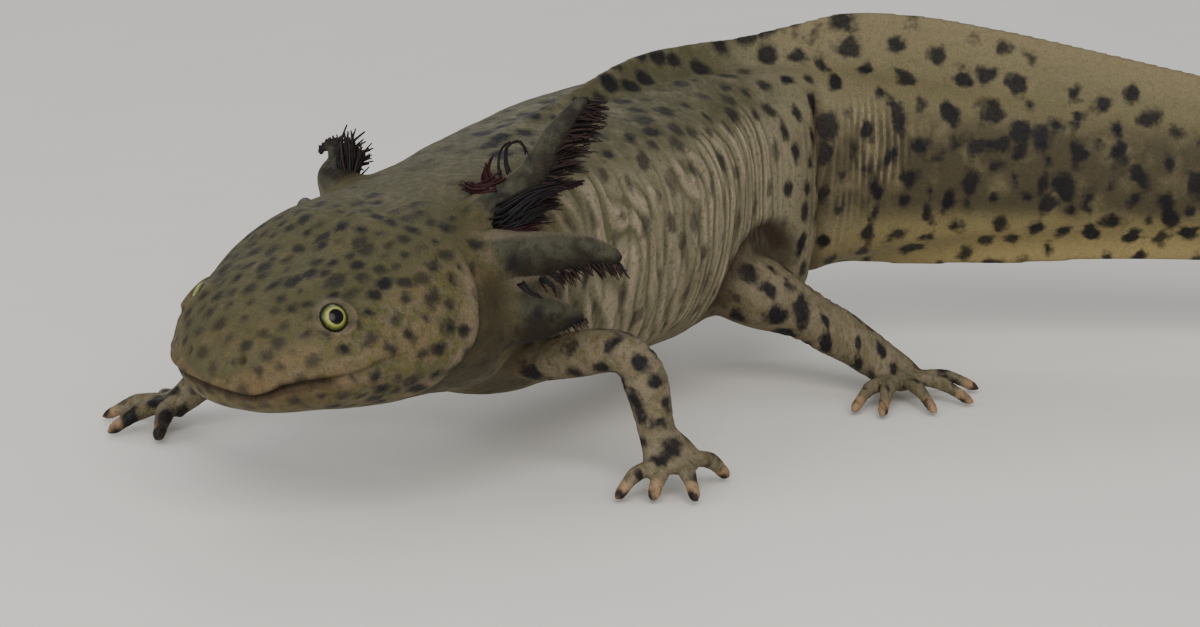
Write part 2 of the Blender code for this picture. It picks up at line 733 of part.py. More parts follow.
def make_gill(name, gill, body, chance):
    """A gill: a flat tapered stalk with its filaments, cut to meet the body."""
    root, reach, hang, half_width, taper, first, length = gill
    start = body_point(*root)
    reach = np.array(reach)
    ahead = unit(reach)
    middle = start + 0.5 * reach + np.array((0.0, 0.0, GILL_ARCH * np.linalg.norm(reach)))
    path, at, _ = smooth_path(
        [start - ahead * GILL_ROOT_DEPTH, start, middle, start + reach], GILL_STEPS)
    widths = half_width * (1 - taper * (at / at[-1]) ** 1.5)
    level = unit(np.cross(ahead, (0.0, 0.0, 1.0)))
    stalk = tube(name, tube_along(path, widths, widths * GILL_THINNESS, GILL_SIDES, level))
    filaments = make_filaments(path, at, widths, hang, first, length, chance)
    fuse(stalk, filaments, "MANIFOLD")
    apply_boolean(stalk, "DIFFERENCE", body, "MANIFOLD")
    keep_largest(stalk)
    finish(stalk, GILL_SKIN, 0.5)


def body_envelope():
    """The body grown by the gap, which limbs and gills are cut clear of."""
    rings = []
    for s in np.arange(8.0, 132.0, 3.0):
        left, up = section(s, 17, GAP)
        rings.append(ring_of(s, left, up))
    envelope = tube("body_envelope", rings)
    envelope.hide_render = True
    envelope.display_type = "WIRE"
    return envelope


def centre_on_floor():
    """Sets the middle of the whole box over the origin."""
    corners = np.array([
        vertex.co for made in bpy.context.scene.objects if not made.hide_render
        for vertex in made.data.vertices
    ])
    middle = 0.5 * (corners.min(axis=0) + corners.max(axis=0))
    for made in bpy.context.scene.objects:
        for vertex in made.data.vertices:
            vertex.co.x -= middle[0]
            vertex.co.y -= middle[1]


def main():
    for old in list(bpy.data.objects):
        bpy.data.objects.remove(old)
    envelope = body_envelope()
    make_head_and_eyes()
    make_trunk_and_tail()
    make_fins()
    for limb in LIMBS.values():
        wrist, ahead, wrist_radius = make_limb(limb, envelope)
        make_foot(limb, wrist, ahead, wrist_radius)
    chance = random.Random(FILAMENT_SEED)
    for name, gill in GILLS.items():
        make_gill(name, gill, envelope, chance)
    bpy.data.objects.remove(envelope)
    centre_on_floor()


main()
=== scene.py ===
"""The looks of a life-size axolotl: one moist, folded, spotted skin, two eyes and gill filaments.

Lengths are in millimetres in the animal's own frame and in_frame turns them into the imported
frame's metres. The animal faces -X, its left side faces -Y and +Z is up. A place on the body
is a distance s along the spine, which starts just ahead of the snout, a distance to the left
and a height over the spine's line.
"""
import itertools
import math
import random

import bmesh
import bpy
import numpy as np
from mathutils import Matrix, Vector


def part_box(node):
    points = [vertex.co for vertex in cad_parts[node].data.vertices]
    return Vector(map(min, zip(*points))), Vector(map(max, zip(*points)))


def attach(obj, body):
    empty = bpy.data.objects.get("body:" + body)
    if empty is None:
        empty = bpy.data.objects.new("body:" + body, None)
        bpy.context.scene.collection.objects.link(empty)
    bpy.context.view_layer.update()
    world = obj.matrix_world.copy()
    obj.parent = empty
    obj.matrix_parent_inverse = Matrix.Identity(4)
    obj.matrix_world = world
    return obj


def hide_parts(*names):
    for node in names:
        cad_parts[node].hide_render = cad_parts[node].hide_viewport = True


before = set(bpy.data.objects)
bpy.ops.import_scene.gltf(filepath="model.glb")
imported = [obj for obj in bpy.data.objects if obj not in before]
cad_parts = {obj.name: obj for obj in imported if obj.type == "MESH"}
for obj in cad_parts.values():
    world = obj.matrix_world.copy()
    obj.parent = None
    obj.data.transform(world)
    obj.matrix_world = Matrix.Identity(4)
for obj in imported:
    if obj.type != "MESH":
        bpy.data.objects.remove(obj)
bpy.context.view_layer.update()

MM = 0.001
UP = np.array((0.0, 0.0, 1.0))

# Spine: distance from its start, heading in degrees towards the animal's left, height.
LENGTH = 234.0
SNOUT_TIP = 1.3
SHOULDER = 50.0
SPINE_STEP = 0.5
HEADINGS = [(0, -2), (20, -2), (38, -5), (52, -12), (75, -14), (92, -8), (106, 8), (120, 32),
            (140, 50), (175, 53), (205, 46), (LENGTH, 34)]
HEIGHTS = [(0, 19.0), (3, 19.3), (6, 19.7), (12, 20.5), (20, 21.0), (28, 22.3), (35, 24.4),
           (41, 25.9), (50, 26.8), (75, 26.2), (100, 25.6), (118, 25.6), (135, 25.2),
           (165, 23.6), (205, 19), (LENGTH, 14)]

# Body: distance along the spine, half width, height above and depth below the spine,
# height of the dorsal fin and depth of the ventral fin beyond them.
BODY = [
    (SNOUT_TIP, 0.4, 0.4, 0.4, 0, 0),
    (1.9, 3.6, 1.7, 2.4, 0, 0),
    (2.8, 5.8, 2.9, 3.7, 0, 0),
    (4.2, 8.1, 4.3, 4.7, 0, 0),
    (7, 10.9, 6.1, 5.6, 0, 0),
    (12, 14.2, 8.5, 6.5, 0, 0),
    (20, 17.0, 11.5, 7.8, 0, 0),
    (26, 17.9, 13.1, 9.1, 0, 0),
    (31, 17.5, 13.1, 11.5, 0, 0),
    (36, 15.4, 12.1, 14.1, 0, 0),
    (42, 13.8, 11.4, 16.6, 0, 0),
    (50, 13.7, 11.0, 18.6, 0, 0),
    (58, 14.6, 11.6, 19.0, 0.4, 0),
    (66, 16.0, 12.2, 19.3, 1.0, 0),
    (80, 17.0, 13.0, 19.4, 1.9, 0),
    (88, 16.7, 13.3, 19.4, 2.7, 0),
    (95, 16.0, 13.6, 19.2, 3.1, 0),
    (106, 14.0, 13.7, 18.2, 3.2, 0),
    (114, 12.4, 13.7, 18.6, 3.3, 0),
    (119, 11.2, 13.6, 17.6, 4.2, 0),
    (122.5, 9.7, 13.3, 14.2, 5.2, 0.2),
    (126, 9.3, 13.1, 12.8, 6.2, 0.6),
    (135, 7.8, 12.0, 11.2, 7.4, 2.2),
    (147, 6.4, 10.6, 9.4, 7.4, 3.4),
    (165, 5.0, 8.8, 7.2, 6.4, 3.6),
    (190, 3.6, 6.4, 5.2, 5.4, 3.4),
    (215, 2.2, 3.6, 3.2, 4.0, 2.8),
    (229, 1.2, 1.6, 1.6, 2.0, 1.6),
    (LENGTH, 0.8, 0.8, 0.8, 0.8, 0.8),
]
BACK_FLAT = 1.0
ROUND_SECTION = 1.0
FULL_SECTION = 0.84
HEAD_END = 32.5
NECK_END = 44.0
DORSAL_FIN_START = 56.0
VENTRAL_FIN_START = 124.0
JAW_RECEDES = 0.45
SNOUT_LEANS = 0.35
SNOUT_FADE = 6.0
NOSTRIL = (3.3, 4.0, 2.9)
EYE = (12.1, 9.1, 5.3)
EYE_RADIUS = 2.1
EYE_AXIS = (-0.37, 0.81, 0.46)
MOUTH_CORNER = 8.6
# The mouth's line and the cheek's fold behind its corner: s, then height over the spine.
MOUTH_LINE = [(SNOUT_TIP, -0.5), (1.7, -0.65), (2.3, -0.8), (3.1, -0.6), (4.2, -0.25), (5.6, -0.05),
              (7.3, -0.05), (9.5, -0.15), (11, 0.0), (13.9, 0.7), (17.9, 1.15)]
MOUTH_TILT = 0.17

# Limbs: root on the body, joint, wrist or ankle, palm, digit tips on the floor, half widths.
LIMBS = {
    "arm_left": ((45, 9.0, -12), (1.3, -25.1, 16.2), (2.8, -27.0, 7.4), (3.2, -29.2, 4.2),
                 [(-4.6, -26.8), (-2.2, -30.4), (0.6, -34.8), (12.0, -30.4)],
                 [3.5, 2.75, 2.5, 2.35]),
    "arm_right": ((45, -9.0, -12), (-6.0, 26.5, 15.0), (-10.5, 36.0, 5.4), (-12.0, 38.6, 3.2),
                  [(-6.5, 47.0), (-15.4, 47.6), (-20.6, 41.4), (-19.4, 34.0)],
                  [3.5, 2.75, 2.5, 2.35]),
    "leg_left": ((100, 9.5, -11.0), (53.8, -10.9, 9.6), (57.6, -19.2, 4.6), (57.6, -21.8, 2.9),
                 [(46.8, -22.6), (47.4, -26.8), (53.0, -31.0), (60.2, -31.6), (66.8, -27.6)],
                 [6.2, 5.4, 3.3, 2.7]),
    "leg_right": ((102, -9.5, -12.5), (60.0, 30.0, 12.0), (70.5, 33.0, 4.6), (73.0, 34.4, 2.9),
                  [(72.6, 44.6), (79.0, 43.6), (84.0, 39.4), (84.4, 33.4), (78.4, 27.6)],
                  [4.8, 4.0, 3.2, 2.7]),
}
LIMB_ROOT_DEPTH = 5.0
LIMB_DEPTH = 0.92
LIMB_STEPS = 81
LIMB_EASE = 60
PALM_HALF_WIDTH = 3.6
PALM_HALF_DEPTH = 1.2
PALM_AHEAD = 1.6
PALM_DROP = 0.5
DIGIT_FAN = 0.62
KNUCKLE_RISE = 0.9

# Gills: root on the body, the stalk's bends and its tip from there, the way that the filaments
# hang, the stalk's half widths, and the filaments' first place, spacing, number of rows,
# lengths and sweep towards the tip.
GILLS = {
    "gill_left_upper": dict(
        root=(40.5, 10.8, 8.4), bends=[(3.2, -3.6, 4.1), (5.4, -5.8, 9.4), (7.6, -8.3, 13.5)],
        hang=(0.6, -0.8, 0.1), girth=[2.7, 2.2, 1.7, 0.9], fringe=(0.15, 0.27, 6),
        lengths=[(0, 2.6), (0.35, 3.6), (0.8, 3.0), (1, 1.7)], sweeps=[(0, 0.95), (1, 0.6)],
    ),
    "gill_left_middle": dict(
        root=(36.4, 14.0, 4.5),
        bends=[(2.6, -2.8, 0.4), (5.3, -5.5, 0.9), (8.4, -8.5, 0.8), (10.2, -10.7, 0.0)],
        hang=(0.1, 0.0, -1.0), girth=[3.4, 3.2, 2.7, 1.7, 1.0], fringe=(0.3, 0.35, 6),
        lengths=[(0, 2.6), (0.4, 2.0), (1, 1.6)], sweeps=[(0, 0.7), (1, 0.7)],
    ),
    "gill_left_lower": dict(
        root=(34.0, 14.4, -1.5), bends=[(4.2, -3.8, 0.0), (8.0, -7.3, -0.3)],
        hang=(0.1, 0.0, -1.0), girth=[3.9, 2.9, 0.5], fringe=(0.6, 0.5, 3),
        lengths=[(0, 1.3), (1, 0.9)], sweeps=[(0, 0.5), (1, 0.5)],
    ),
    "gill_right_upper": dict(
        root=(40.5, -10.8, 8.4),
        bends=[(0.7, 2.3, 1.6), (2.7, 3.5, 3.1), (3.8, 5.0, 4.1), (3.7, 6.0, 4.1), (3.1, 6.3, 3.2)],
        hang=(1.1, -1.3, 0.45), girth=[2.4, 1.8, 1.05, 0.95, 0.75, 0.35], fringe=(0.0, 0.24, 7),
        lengths=[(0, 4.6), (0.4, 4.3), (0.6, 2.0), (0.75, 1.0), (0.93, 0.5), (1, 0.2)],
        sweeps=[(0, 0.8), (0.4, 1.3), (0.65, 0.4), (1, 0.0)],
    ),
    "gill_right_middle": dict(
        root=(36.6, -13.9, 4.8), bends=[(5.3, 5.1, 0.2), (10.7, 10.1, -0.8)],
        hang=(0.1, 0.0, -1.0), girth=[2.6, 2.05, 0.95], fringe=(0.2, 0.4, 4),
        lengths=[(0, 2.2), (0.5, 2.6), (1, 1.4)], sweeps=[(0, 0.6), (1, 0.6)],
    ),
    "gill_right_lower": dict(
        root=(34.0, -14.4, -0.6), bends=[(5.3, 3.3, 0.2), (10.6, 6.3, -0.6)],
        hang=(0.1, 0.0, -1.0), girth=[2.7, 1.6, 0.35], fringe=(0.2, 0.45, 3),
        lengths=[(0, 1.8), (0.5, 2.0), (1, 0.9)], sweeps=[(0, 0.5), (1, 0.5)],
    ),
}
GILL_ROOT_DEPTH = 4.0
GILL_THINNESS = 0.55
GILL_STEPS = 30
GILL_SIDES = 20

# Tones of a filament: near black at 0, brown and then pale towards 1, blood red at 2.
DARK = 0.1
RED = 2.0

# Tufts of filaments by the left side's two upper gills: the tuft's path from the gill's root,
# how many filaments, how far they spread at the tuft's start and end, their tone.
TUFTS = {
    "gill_left_upper": [
        ([(-1.4, -2.9, -0.6), (1.5, -5.3, 2.2), (6.2, -8.8, 3.8)], 80, 0.75, 0.16, DARK),
        ([(-1.7, -2.7, -1.1), (0.5, -4.7, 0.6), (4.7, -6.4, 1.0)], 60, 0.65, 0.35, DARK),
        ([(-1.8, -2.8, -1.4), (-0.1, -4.4, -0.5), (3.5, -5.3, -0.1)], 60, 0.6, 0.5, DARK),
        ([(-1.9, -2.7, -1.7), (-1.1, -4.4, -1.5), (1.1, -6.1, -1.3)], 40, 0.45, 0.35, RED),
        ([(0.5, -0.7, 3.0), (-0.9, 0.8, 2.5), (-1.4, 3.2, 3.0)], 80, 0.6, 0.4, RED),
        ([(-0.1, -0.1, 2.6), (0.2, 1.4, 3.5), (1.5, 2.2, 5.3)], 20, 0.35, 0.1, RED),
        ([(0.1, -0.3, 2.7), (0.6, 1.3, 4.4), (2.2, 1.7, 6.2)], 20, 0.35, 0.1, RED),
        ([(0.9, -0.8, 3.7), (1.7, 0.4, 5.5), (3.0, 1.0, 7.1), (4.3, 0.6, 7.8)], 7, 0.1, 0.06, DARK),
        ([(1.6, -1.7, 4.0), (2.3, -0.2, 5.8), (3.5, 0.5, 7.3), (4.8, -0.1, 7.7), (5.1, -0.7, 6.9),
          (4.7, -1.5, 5.8)], 9, 0.1, 0.08, DARK),
    ],
    "gill_left_middle": [
        ([(1.0, -6.2, -1.3), (1.4, -7.7, -2.1), (1.8, -7.8, -3.3)], 7, 0.12, 0.08, DARK),
        ([(-0.5, -4.5, -1.9), (-0.3, -5.8, -2.8), (1.0, -6.9, -3.5)], 8, 0.2, 0.15, DARK),
        ([(1.8, -6.7, -0.4), (1.8, -7.9, -1.4), (2.9, -8.5, -1.9)], 6, 0.12, 0.08, DARK),
    ],
}

# Camera: where it looks, from which side, how far away and how long its lens is.
CAMERA_TARGET = (15.8, -7.3, 16.5)
CAMERA_AZIMUTH = math.radians(-50)
CAMERA_ELEVATION = math.radians(13)
CAMERA_DISTANCE = 620.0
CAMERA_SENSOR = 36.0
CAMERA_LENS = 152.5


def through(pairs):
    """A smooth function through (place, value) pairs."""
    places, values = np.array(list(pairs), float).T
    slopes = np.gradient(values, places)

    def value_at(place):
        place = np.clip(place, places[0], places[-1])
        i = np.clip(np.searchsorted(places, place) - 1, 0, len(places) - 2)
        span = places[i + 1] - places[i]
        u = (place - places[i]) / span
        start = (2 * u**3 - 3 * u**2 + 1) * values[i] + (u**3 - 2 * u**2 + u) * span * slopes[i]
        end = (3 * u**2 - 2 * u**3) * values[i + 1] + (u**3 - u**2) * span * slopes[i + 1]
        return start + end

    return value_at


heading_at = through(HEADINGS)
height_at = through(HEIGHTS)
half_width_at, above_at, below_at, dorsal_at, ventral_at = [
    through([(row[0], row[column]) for row in BODY]) for column in range(1, 6)
]


def unit(vectors):
    vectors = np.asarray(vectors, float)
    return vectors / np.linalg.norm(vectors, axis=-1, keepdims=True)


def spine_frames():
    """Places s along the spine, its points, and its backward, left and upward directions."""
    s = np.arange(0, LENGTH + SPINE_STEP / 2, SPINE_STEP)
    heading = np.radians(heading_at(s))
    z = height_at(s)
    flat = np.sqrt(1 - np.gradient(z, s) ** 2)
    x = np.cumsum(np.cos(heading) * flat) * SPINE_STEP
    y = -np.cumsum(np.sin(heading) * flat) * SPINE_STEP
    shoulder = int(round(SHOULDER / SPINE_STEP))
    points = np.stack([x - x[shoulder], y - y[shoulder], z], axis=1)
    backward = unit(np.gradient(points, axis=0))
    left = unit(np.cross(backward, UP))
    up = np.cross(left, backward)
    return s, points, backward, left, up


SPINE = spine_frames()


def looked_up(at, places, table):
    """The rows of a table at places along it."""
    return np.stack([np.interp(at, places, column) for column in table.T], axis=-1)


def frame_at(s):
    """The spine's point and its three directions at s, which may be an array."""
    return [looked_up(s, SPINE[0], table) for table in SPINE[1:]]


def body_point(s, left=0.0, up=0.0):
    origin, _, to_left, to_up = frame_at(s)
    return origin + left * to_left + up * to_up


def frame_shift():
    """What takes the animal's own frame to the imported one: the left eye's place tells it."""
    low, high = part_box("eye_left")
    shift = 0.5 * (np.array(low) + np.array(high)) / MM - body_point(*EYE)
    shift[2] = 0.0
    return shift


SHIFT = frame_shift()


def in_frame(points):
    """Points of the animal's own frame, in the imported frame's metres."""
    return (np.asarray(points, float) + SHIFT) * MM


def smooth_step(low, high, values):
    part = np.clip((values - low) / (high - low), 0, 1)
    return part * part * (3 - 2 * part)


def fade(low, high, values):
    """1 up to low, falling smoothly to 0 at high."""
    return 1 - smooth_step(low, high, values)


def window(values, low, full, end, gone):
    """Rises smoothly from 0 at low to 1 at full, and falls from 1 at end to 0 at gone."""
    return smooth_step(low, full, values) * fade(end, gone, values)


def bump(values, centre, spread):
    return np.exp(-((values - centre) / spread) ** 2)


def bumps(values, rows):
    """The sum of several bumps: each row is a height, a centre and a spread."""
    return sum(height * bump(values, centre, spread) for height, centre, spread in rows)


NOISE_SIZE = 48
NOISE_SEED = 3
NOISE_TABLE = np.random.RandomState(NOISE_SEED).uniform(-1, 1, (NOISE_SIZE,) * 3)


def noise(points, size, offset=0.0):
    """Smooth noise from -1 to 1 whose features are about size millimetres wide."""
    at = np.asarray(points, float) / size + offset
    low = np.floor(at).astype(int)
    part = at - low
    part = part * part * (3 - 2 * part)
    total = np.zeros(len(at))
    for corner in itertools.product((0, 1), repeat=3):
        index = (low + corner) % NOISE_SIZE
        weight = np.prod(np.where(corner, part, 1 - part), axis=-1)
        total += weight * NOISE_TABLE[index[:, 0], index[:, 1], index[:, 2]]
    return total


# Closed shapes that the skin is grown over

def closed_tube(rings):
    """Points and faces of a closed mesh through rings of equal count."""
    rings = np.array(rings)
    rows, count, _ = rings.shape
    grid = np.arange(rows * count).reshape(rows, count)
    after = np.roll(grid, -1, axis=1)
    faces = np.stack([grid[:-1], after[:-1], after[1:], grid[1:]], axis=-1).reshape(-1, 4)
    return rings.reshape(-1, 3), faces.tolist() + [grid[0][::-1].tolist(), grid[-1].tolist()]


def joined(shapes):
    """The points and faces of many shapes as those of one."""
    faces, used = [], 0
    for points, some_faces in shapes:
        faces += [[corner + used for corner in face] for face in some_faces]
        used += len(points)
    return np.concatenate([points for points, _ in shapes]), faces


def filled_power(s):
    return np.interp(s, [HEAD_END / 2, NECK_END], [ROUND_SECTION, FULL_SECTION])


def ring_of(s, left, up):
    """The closed ring of a half outline and its mirror image, set across the spine at s."""
    origin, backward, to_left, to_up = frame_at(s)
    left = np.concatenate([left, -left[::-1]])
    up = np.concatenate([up, up[::-1]])
    ring = origin + np.outer(left, to_left) + np.outer(up, to_up)
    return ring + np.outer(head_lean(s, up), backward)


def head_lean(s, up):
    """How far back the snout's surface lies of its ring: the lower jaw recedes."""
    lean = np.where(up < 0, -JAW_RECEDES * up, -SNOUT_LEANS * up)
    return lean * np.exp((SNOUT_TIP - s) / SNOUT_FADE)


SNOUT_END = 8.0
SNOUT_CUT = 0.25
BODY_CUT = 0.75
BODY_COLUMNS = 64


def body_shape():
    """The whole body from snout to tail, without its fins."""
    turn = np.linspace(0, math.pi, BODY_COLUMNS)
    rings = []
    snout = np.arange(SNOUT_TIP, SNOUT_END, SNOUT_CUT)
    for s in np.concatenate([snout, np.arange(SNOUT_END, LENGTH, BODY_CUT), [LENGTH]]):
        width = half_width_at(s)
        flat = min(BACK_FLAT, 0.5 * width)
        power = filled_power(s)
        left = flat + (width - flat) * np.abs(np.sin(turn)) ** power
        reach = np.where(turn < math.pi / 2, above_at(s), below_at(s))
        up = reach * np.sign(np.cos(turn)) * np.abs(np.cos(turn)) ** power
        rings.append(ring_of(s, left, up))
    return closed_tube(rings)


# A fin's outline: share of its reach beyond the body, then half thickness there.
FIN_OUTLINE = [(-0.35, 3.4), (-0.15, 2.8), (0.0, 2.25), (0.15, 1.75), (0.35, 1.25), (0.6, 0.85),
               (0.85, 0.6), (0.97, 0.45), (1.0, 0.28)]


def fin_shape(start, side):
    """The fin on the back (side 1) or under the tail (side -1), rooted in the body."""
    share, thick = np.array(FIN_OUTLINE).T
    rings = []
    for s in np.append(np.arange(start, LENGTH, BODY_CUT), LENGTH):
        foot = above_at(s) if side > 0 else below_at(s)
        reach = dorsal_at(s) if side > 0 else ventral_at(s)
        half = np.minimum(thick, 0.7 * half_width_at(s) + 0.1)
        up = side * (foot + share * (reach + 0.3))
        rings.append(ring_of(s, half, up))
    return closed_tube(rings)


def tube_rings(points, widths, depths, sides, level):
    """Rings of elliptical section along a path; level is the way that the depth lies."""
    along = unit(np.gradient(points, axis=0))
    turns = np.linspace(0, 2 * math.pi, sides, endpoint=False)
    across = unit(np.cross(along, level))
    over = np.cross(across, along)
    return (points[:, None] + np.cos(turns)[None, :, None] * (across * widths[:, None])[:, None]
            + np.sin(turns)[None, :, None] * (over * depths[:, None])[:, None])


def smooth_path(corners, steps):
    """A smooth path through corner points: its points, their places and the corners' places."""
    corners = np.array(corners, float)
    spans = np.linalg.norm(np.diff(corners, axis=0), axis=1)
    places = np.concatenate([[0], np.cumsum(spans)])
    at = np.linspace(0, places[-1], steps)
    columns = [through(zip(places, column))(at) for column in corners.T]
    return np.stack(columns, axis=1), at, places


def limb_path(limb):
    """The line of a limb from inside the body to the wrist or ankle."""
    (s, left, up), joint, ankle = LIMBS[limb][:3]
    inner = body_point(s, left - math.copysign(LIMB_ROOT_DEPTH, left), up + 1.0)
    path, at, places = smooth_path([inner, body_point(s, left, up), joint, ankle], LIMB_STEPS)
    for _ in range(LIMB_EASE):
        path[1:-1] += 0.5 * (0.5 * (path[:-2] + path[2:]) - path[1:-1])
    return path, at, places


def limb_roots():
    """Where each limb leaves the body."""
    return [body_point(*limb[0])[None] for limb in LIMBS.values()]


LIMB_SIDES = 24
DIGIT_REST = 0.6
DIGIT_STEPS = 22
DIGIT_SIDES = 14
DIGIT_GIRTH = 1.3
DIGIT_TAPER = 0.62
HIND_DIGIT_SCALE = 0.9
KNUCKLES = [(0.1, 0.55, 0.08), (0.07, 0.9, 0.05)]


def limb_shape(limb):
    """A limb as a tube that swells at its muscles and narrows at its joints."""
    path, at, places = limb_path(limb)
    root, joint, ankle, _, _, girth = LIMBS[limb]
    level = unit(np.cross(np.array(joint) - body_point(*root), np.array(ankle) - joint))
    upper = 0.5 * (places[1] + places[2])
    lower = places[2] + 0.35 * (places[3] - places[2])
    muscles = [(0.35, upper, 3.5), (0.3, lower, 2.2), (-0.2, places[3], 1.5)]
    radii = through(zip(places, girth))(at) + bumps(at, muscles)
    return closed_tube(tube_rings(path, radii, radii * LIMB_DEPTH, LIMB_SIDES, level))


def foot_frame(limb):
    """The palm's middle, the digits' tips, the way the foot points and the palm's upper side."""
    ankle, palm, tips = LIMBS[limb][2:5]
    palm = np.array(palm)
    tips = np.array([(x, y, DIGIT_REST) for x, y in tips])
    out = unit(np.append((tips.mean(axis=0) - np.array(ankle))[:2], 0.0))
    return palm, tips, out, unit(out * 0.8 + UP * 0.6)


def digit_lines(limb):
    """The line of each digit from inside the palm to its tip."""
    palm, tips, out, level = foot_frame(limb)
    across = unit(np.append(np.cross(level, out)[:2], 0.0))
    across *= math.copysign(1.0, np.dot(tips[-1] - tips[0], across))
    lines = []
    for tip, share in zip(tips, np.linspace(-1, 1, len(tips))):
        root = palm + across * share * PALM_HALF_WIDTH * DIGIT_FAN
        knuckle = 0.5 * (root + tip) + KNUCKLE_RISE * UP
        line, _, _ = smooth_path([root - out * 1.6, root, knuckle, tip], DIGIT_STEPS)
        lines.append(line)
    return lines


def foot_shapes(limb):
    """Palm and digits, with a knuckle and a rounded tip on each digit."""
    path, _, _ = limb_path(limb)
    palm, _, out, level = foot_frame(limb)
    wrist = path[-1]
    back = unit(path[-1] - path[-5])
    end = palm + out * (PALM_AHEAD + 0.5) - PALM_DROP * UP
    line, at, places = smooth_path([wrist - 1.5 * back, wrist, palm, end], 16)
    girth = LIMBS[limb][5][3]
    wide = through(zip(places, [girth * 0.95, girth, PALM_HALF_WIDTH, 2.3]))(at)
    deep = through(zip(places, [girth * 0.9, girth * 0.85, PALM_HALF_DEPTH + 0.3, 0.8]))(at)
    shapes = [closed_tube(tube_rings(line, wide, deep, LIMB_SIDES, level))]
    along = np.linspace(0, 1, DIGIT_STEPS)
    radii = DIGIT_GIRTH - DIGIT_TAPER * along + bumps(along, KNUCKLES)
    radii[-3:] *= (0.93, 0.75, 0.4)
    if limb.startswith("leg"):
        radii *= HIND_DIGIT_SCALE
    for digit in digit_lines(limb):
        shapes.append(closed_tube(tube_rings(digit, radii, radii * 0.9, DIGIT_SIDES, UP)))
    return shapes


def gill_path(name, steps):
    """The line of a gill's stalk from inside the head to its tip, and its half widths."""
    gill = GILLS[name]
    start = body_point(*gill["root"])
    bends = start + np.array(gill["bends"])
    inner = start - unit(bends[0] - start) * GILL_ROOT_DEPTH
    path, at, places = smooth_path([inner, start, *bends], steps)
    return path, at, through(zip(places, gill["girth"][:1] + gill["girth"]))(at)


def gill_frames(name, path):
    """A stalk's direction along its path, and the way that its filaments hang there."""
    gill = GILLS[name]
    ahead = unit(np.gradient(path, axis=0))
    level = unit(np.cross(gill["bends"][0], gill["hang"]))
    return ahead, unit(np.cross(level, ahead)), level


def gill_shape(name):
    path, at, widths = gill_path(name, 40)
    _, _, level = gill_frames(name, path)
    widths = widths + 0.7 * bump(at, GILL_ROOT_DEPTH, 2.0)
    widths[-3:] *= (0.95, 0.8, 0.5)
    depths = widths * GILL_THINNESS + 0.3 * bump(at, GILL_ROOT_DEPTH, 2.5)
    return closed_tube(tube_rings(path, widths, depths, GILL_SIDES, level))


def new_mesh_object(name, points, faces):
    data = bpy.data.meshes.new(name)
    data.from_pydata([tuple(point) for point in points], [], faces)
    return linked(name, data)


def linked(name, data):
    """A new object of the scene."""
    made = bpy.data.objects.new(name, data)
    bpy.context.scene.collection.objects.link(made)
    return made


def edit(data, change):
    """Makes a change on a mesh's editable form."""
    mesh = bmesh.new()
    mesh.from_mesh(data)
    change(mesh)
    mesh.to_mesh(data)
    mesh.free()


def store(mesh, name, values):
    """Keeps a number or a vector on each of the mesh's points, for its material."""
    values = np.asarray(values, np.float32)
    kind, word = ("FLOAT", "value") if values.ndim == 1 else ("FLOAT_VECTOR", "vector")
    mesh.attributes.new(name, kind, "POINT").data.foreach_set(word, values.ravel())


SKIN_VOXEL = 0.36
LOWEST = 0.02
BATCH = 20000
VOXEL_ROUNDS = 24
JUNCTION_ROUNDS = 60
RELIEF_ROUNDS = 4
DRAW_IN = 0.5
PUSH_OUT = -0.52


def grown_skin():
    """One even, closed mesh over all the shapes, in millimetres."""
    shapes = [body_shape(), fin_shape(DORSAL_FIN_START, 1), fin_shape(VENTRAL_FIN_START, -1)]
    for limb in LIMBS:
        shapes += [limb_shape(limb)] + foot_shapes(limb)
    shapes += [gill_shape(name) for name in GILLS]
    skin = new_mesh_object("skin", *joined(shapes))
    edit(skin.data, lambda mesh: bmesh.ops.recalc_face_normals(mesh, faces=mesh.faces))
    remesh = skin.modifiers.new("Grow", "REMESH")
    remesh.mode = "VOXEL"
    remesh.voxel_size = SKIN_VOXEL
    bpy.context.view_layer.update()
    graph = bpy.context.evaluated_depsgraph_get()
    skin.data = bpy.data.meshes.new_from_object(skin.evaluated_get(graph))
    skin.modifiers.clear()
    return skin


def vectors_of(items, word):
    """The vectors that a mesh's items keep under a word."""
    vectors = np.empty(len(items) * 3)
    items.foreach_get(word, vectors)
    return vectors.reshape(-1, 3)


def points_of(mesh):
    return vectors_of(mesh.vertices, "co")


def set_points(mesh, points):
    mesh.vertices.foreach_set("co", np.asarray(points).ravel())
    mesh.update()


def smoothed(mesh, points, rounds, weights=1.0, keep_size=False):
    """Points drawn to the middle of their neighbours; keep_size pushes back every other time."""
    edges = np.empty(len(mesh.edges) * 2, int)
    mesh.edges.foreach_get("vertices", edges)
    first, second = edges.reshape(-1, 2).T
    count = len(points)
    links = np.bincount(first, minlength=count) + np.bincount(second, minlength=count)
    weights = np.broadcast_to(weights, count)[:, None]
    points = points.copy()
    for turn in range(rounds):
        total = np.stack([
            np.bincount(first, points[second, axis], count)
            + np.bincount(second, points[first, axis], count) for axis in range(3)
        ], axis=1)
        step = PUSH_OUT if keep_size and turn % 2 else DRAW_IN
        points += step * weights * (total / links[:, None] - points)
    return points


def nearest_on(line, points):
    """Which of the line's points is nearest to each point, and how far away it is."""
    index = np.empty(len(points), int)
    distance = np.empty(len(points))
    for start in range(0, len(points), BATCH):
        part = slice(start, start + BATCH)
        gaps = ((points[part, None] - line) ** 2).sum(axis=2)
        index[part] = gaps.argmin(axis=1)
        distance[part] = np.sqrt(gaps.min(axis=1))
    return index, distance


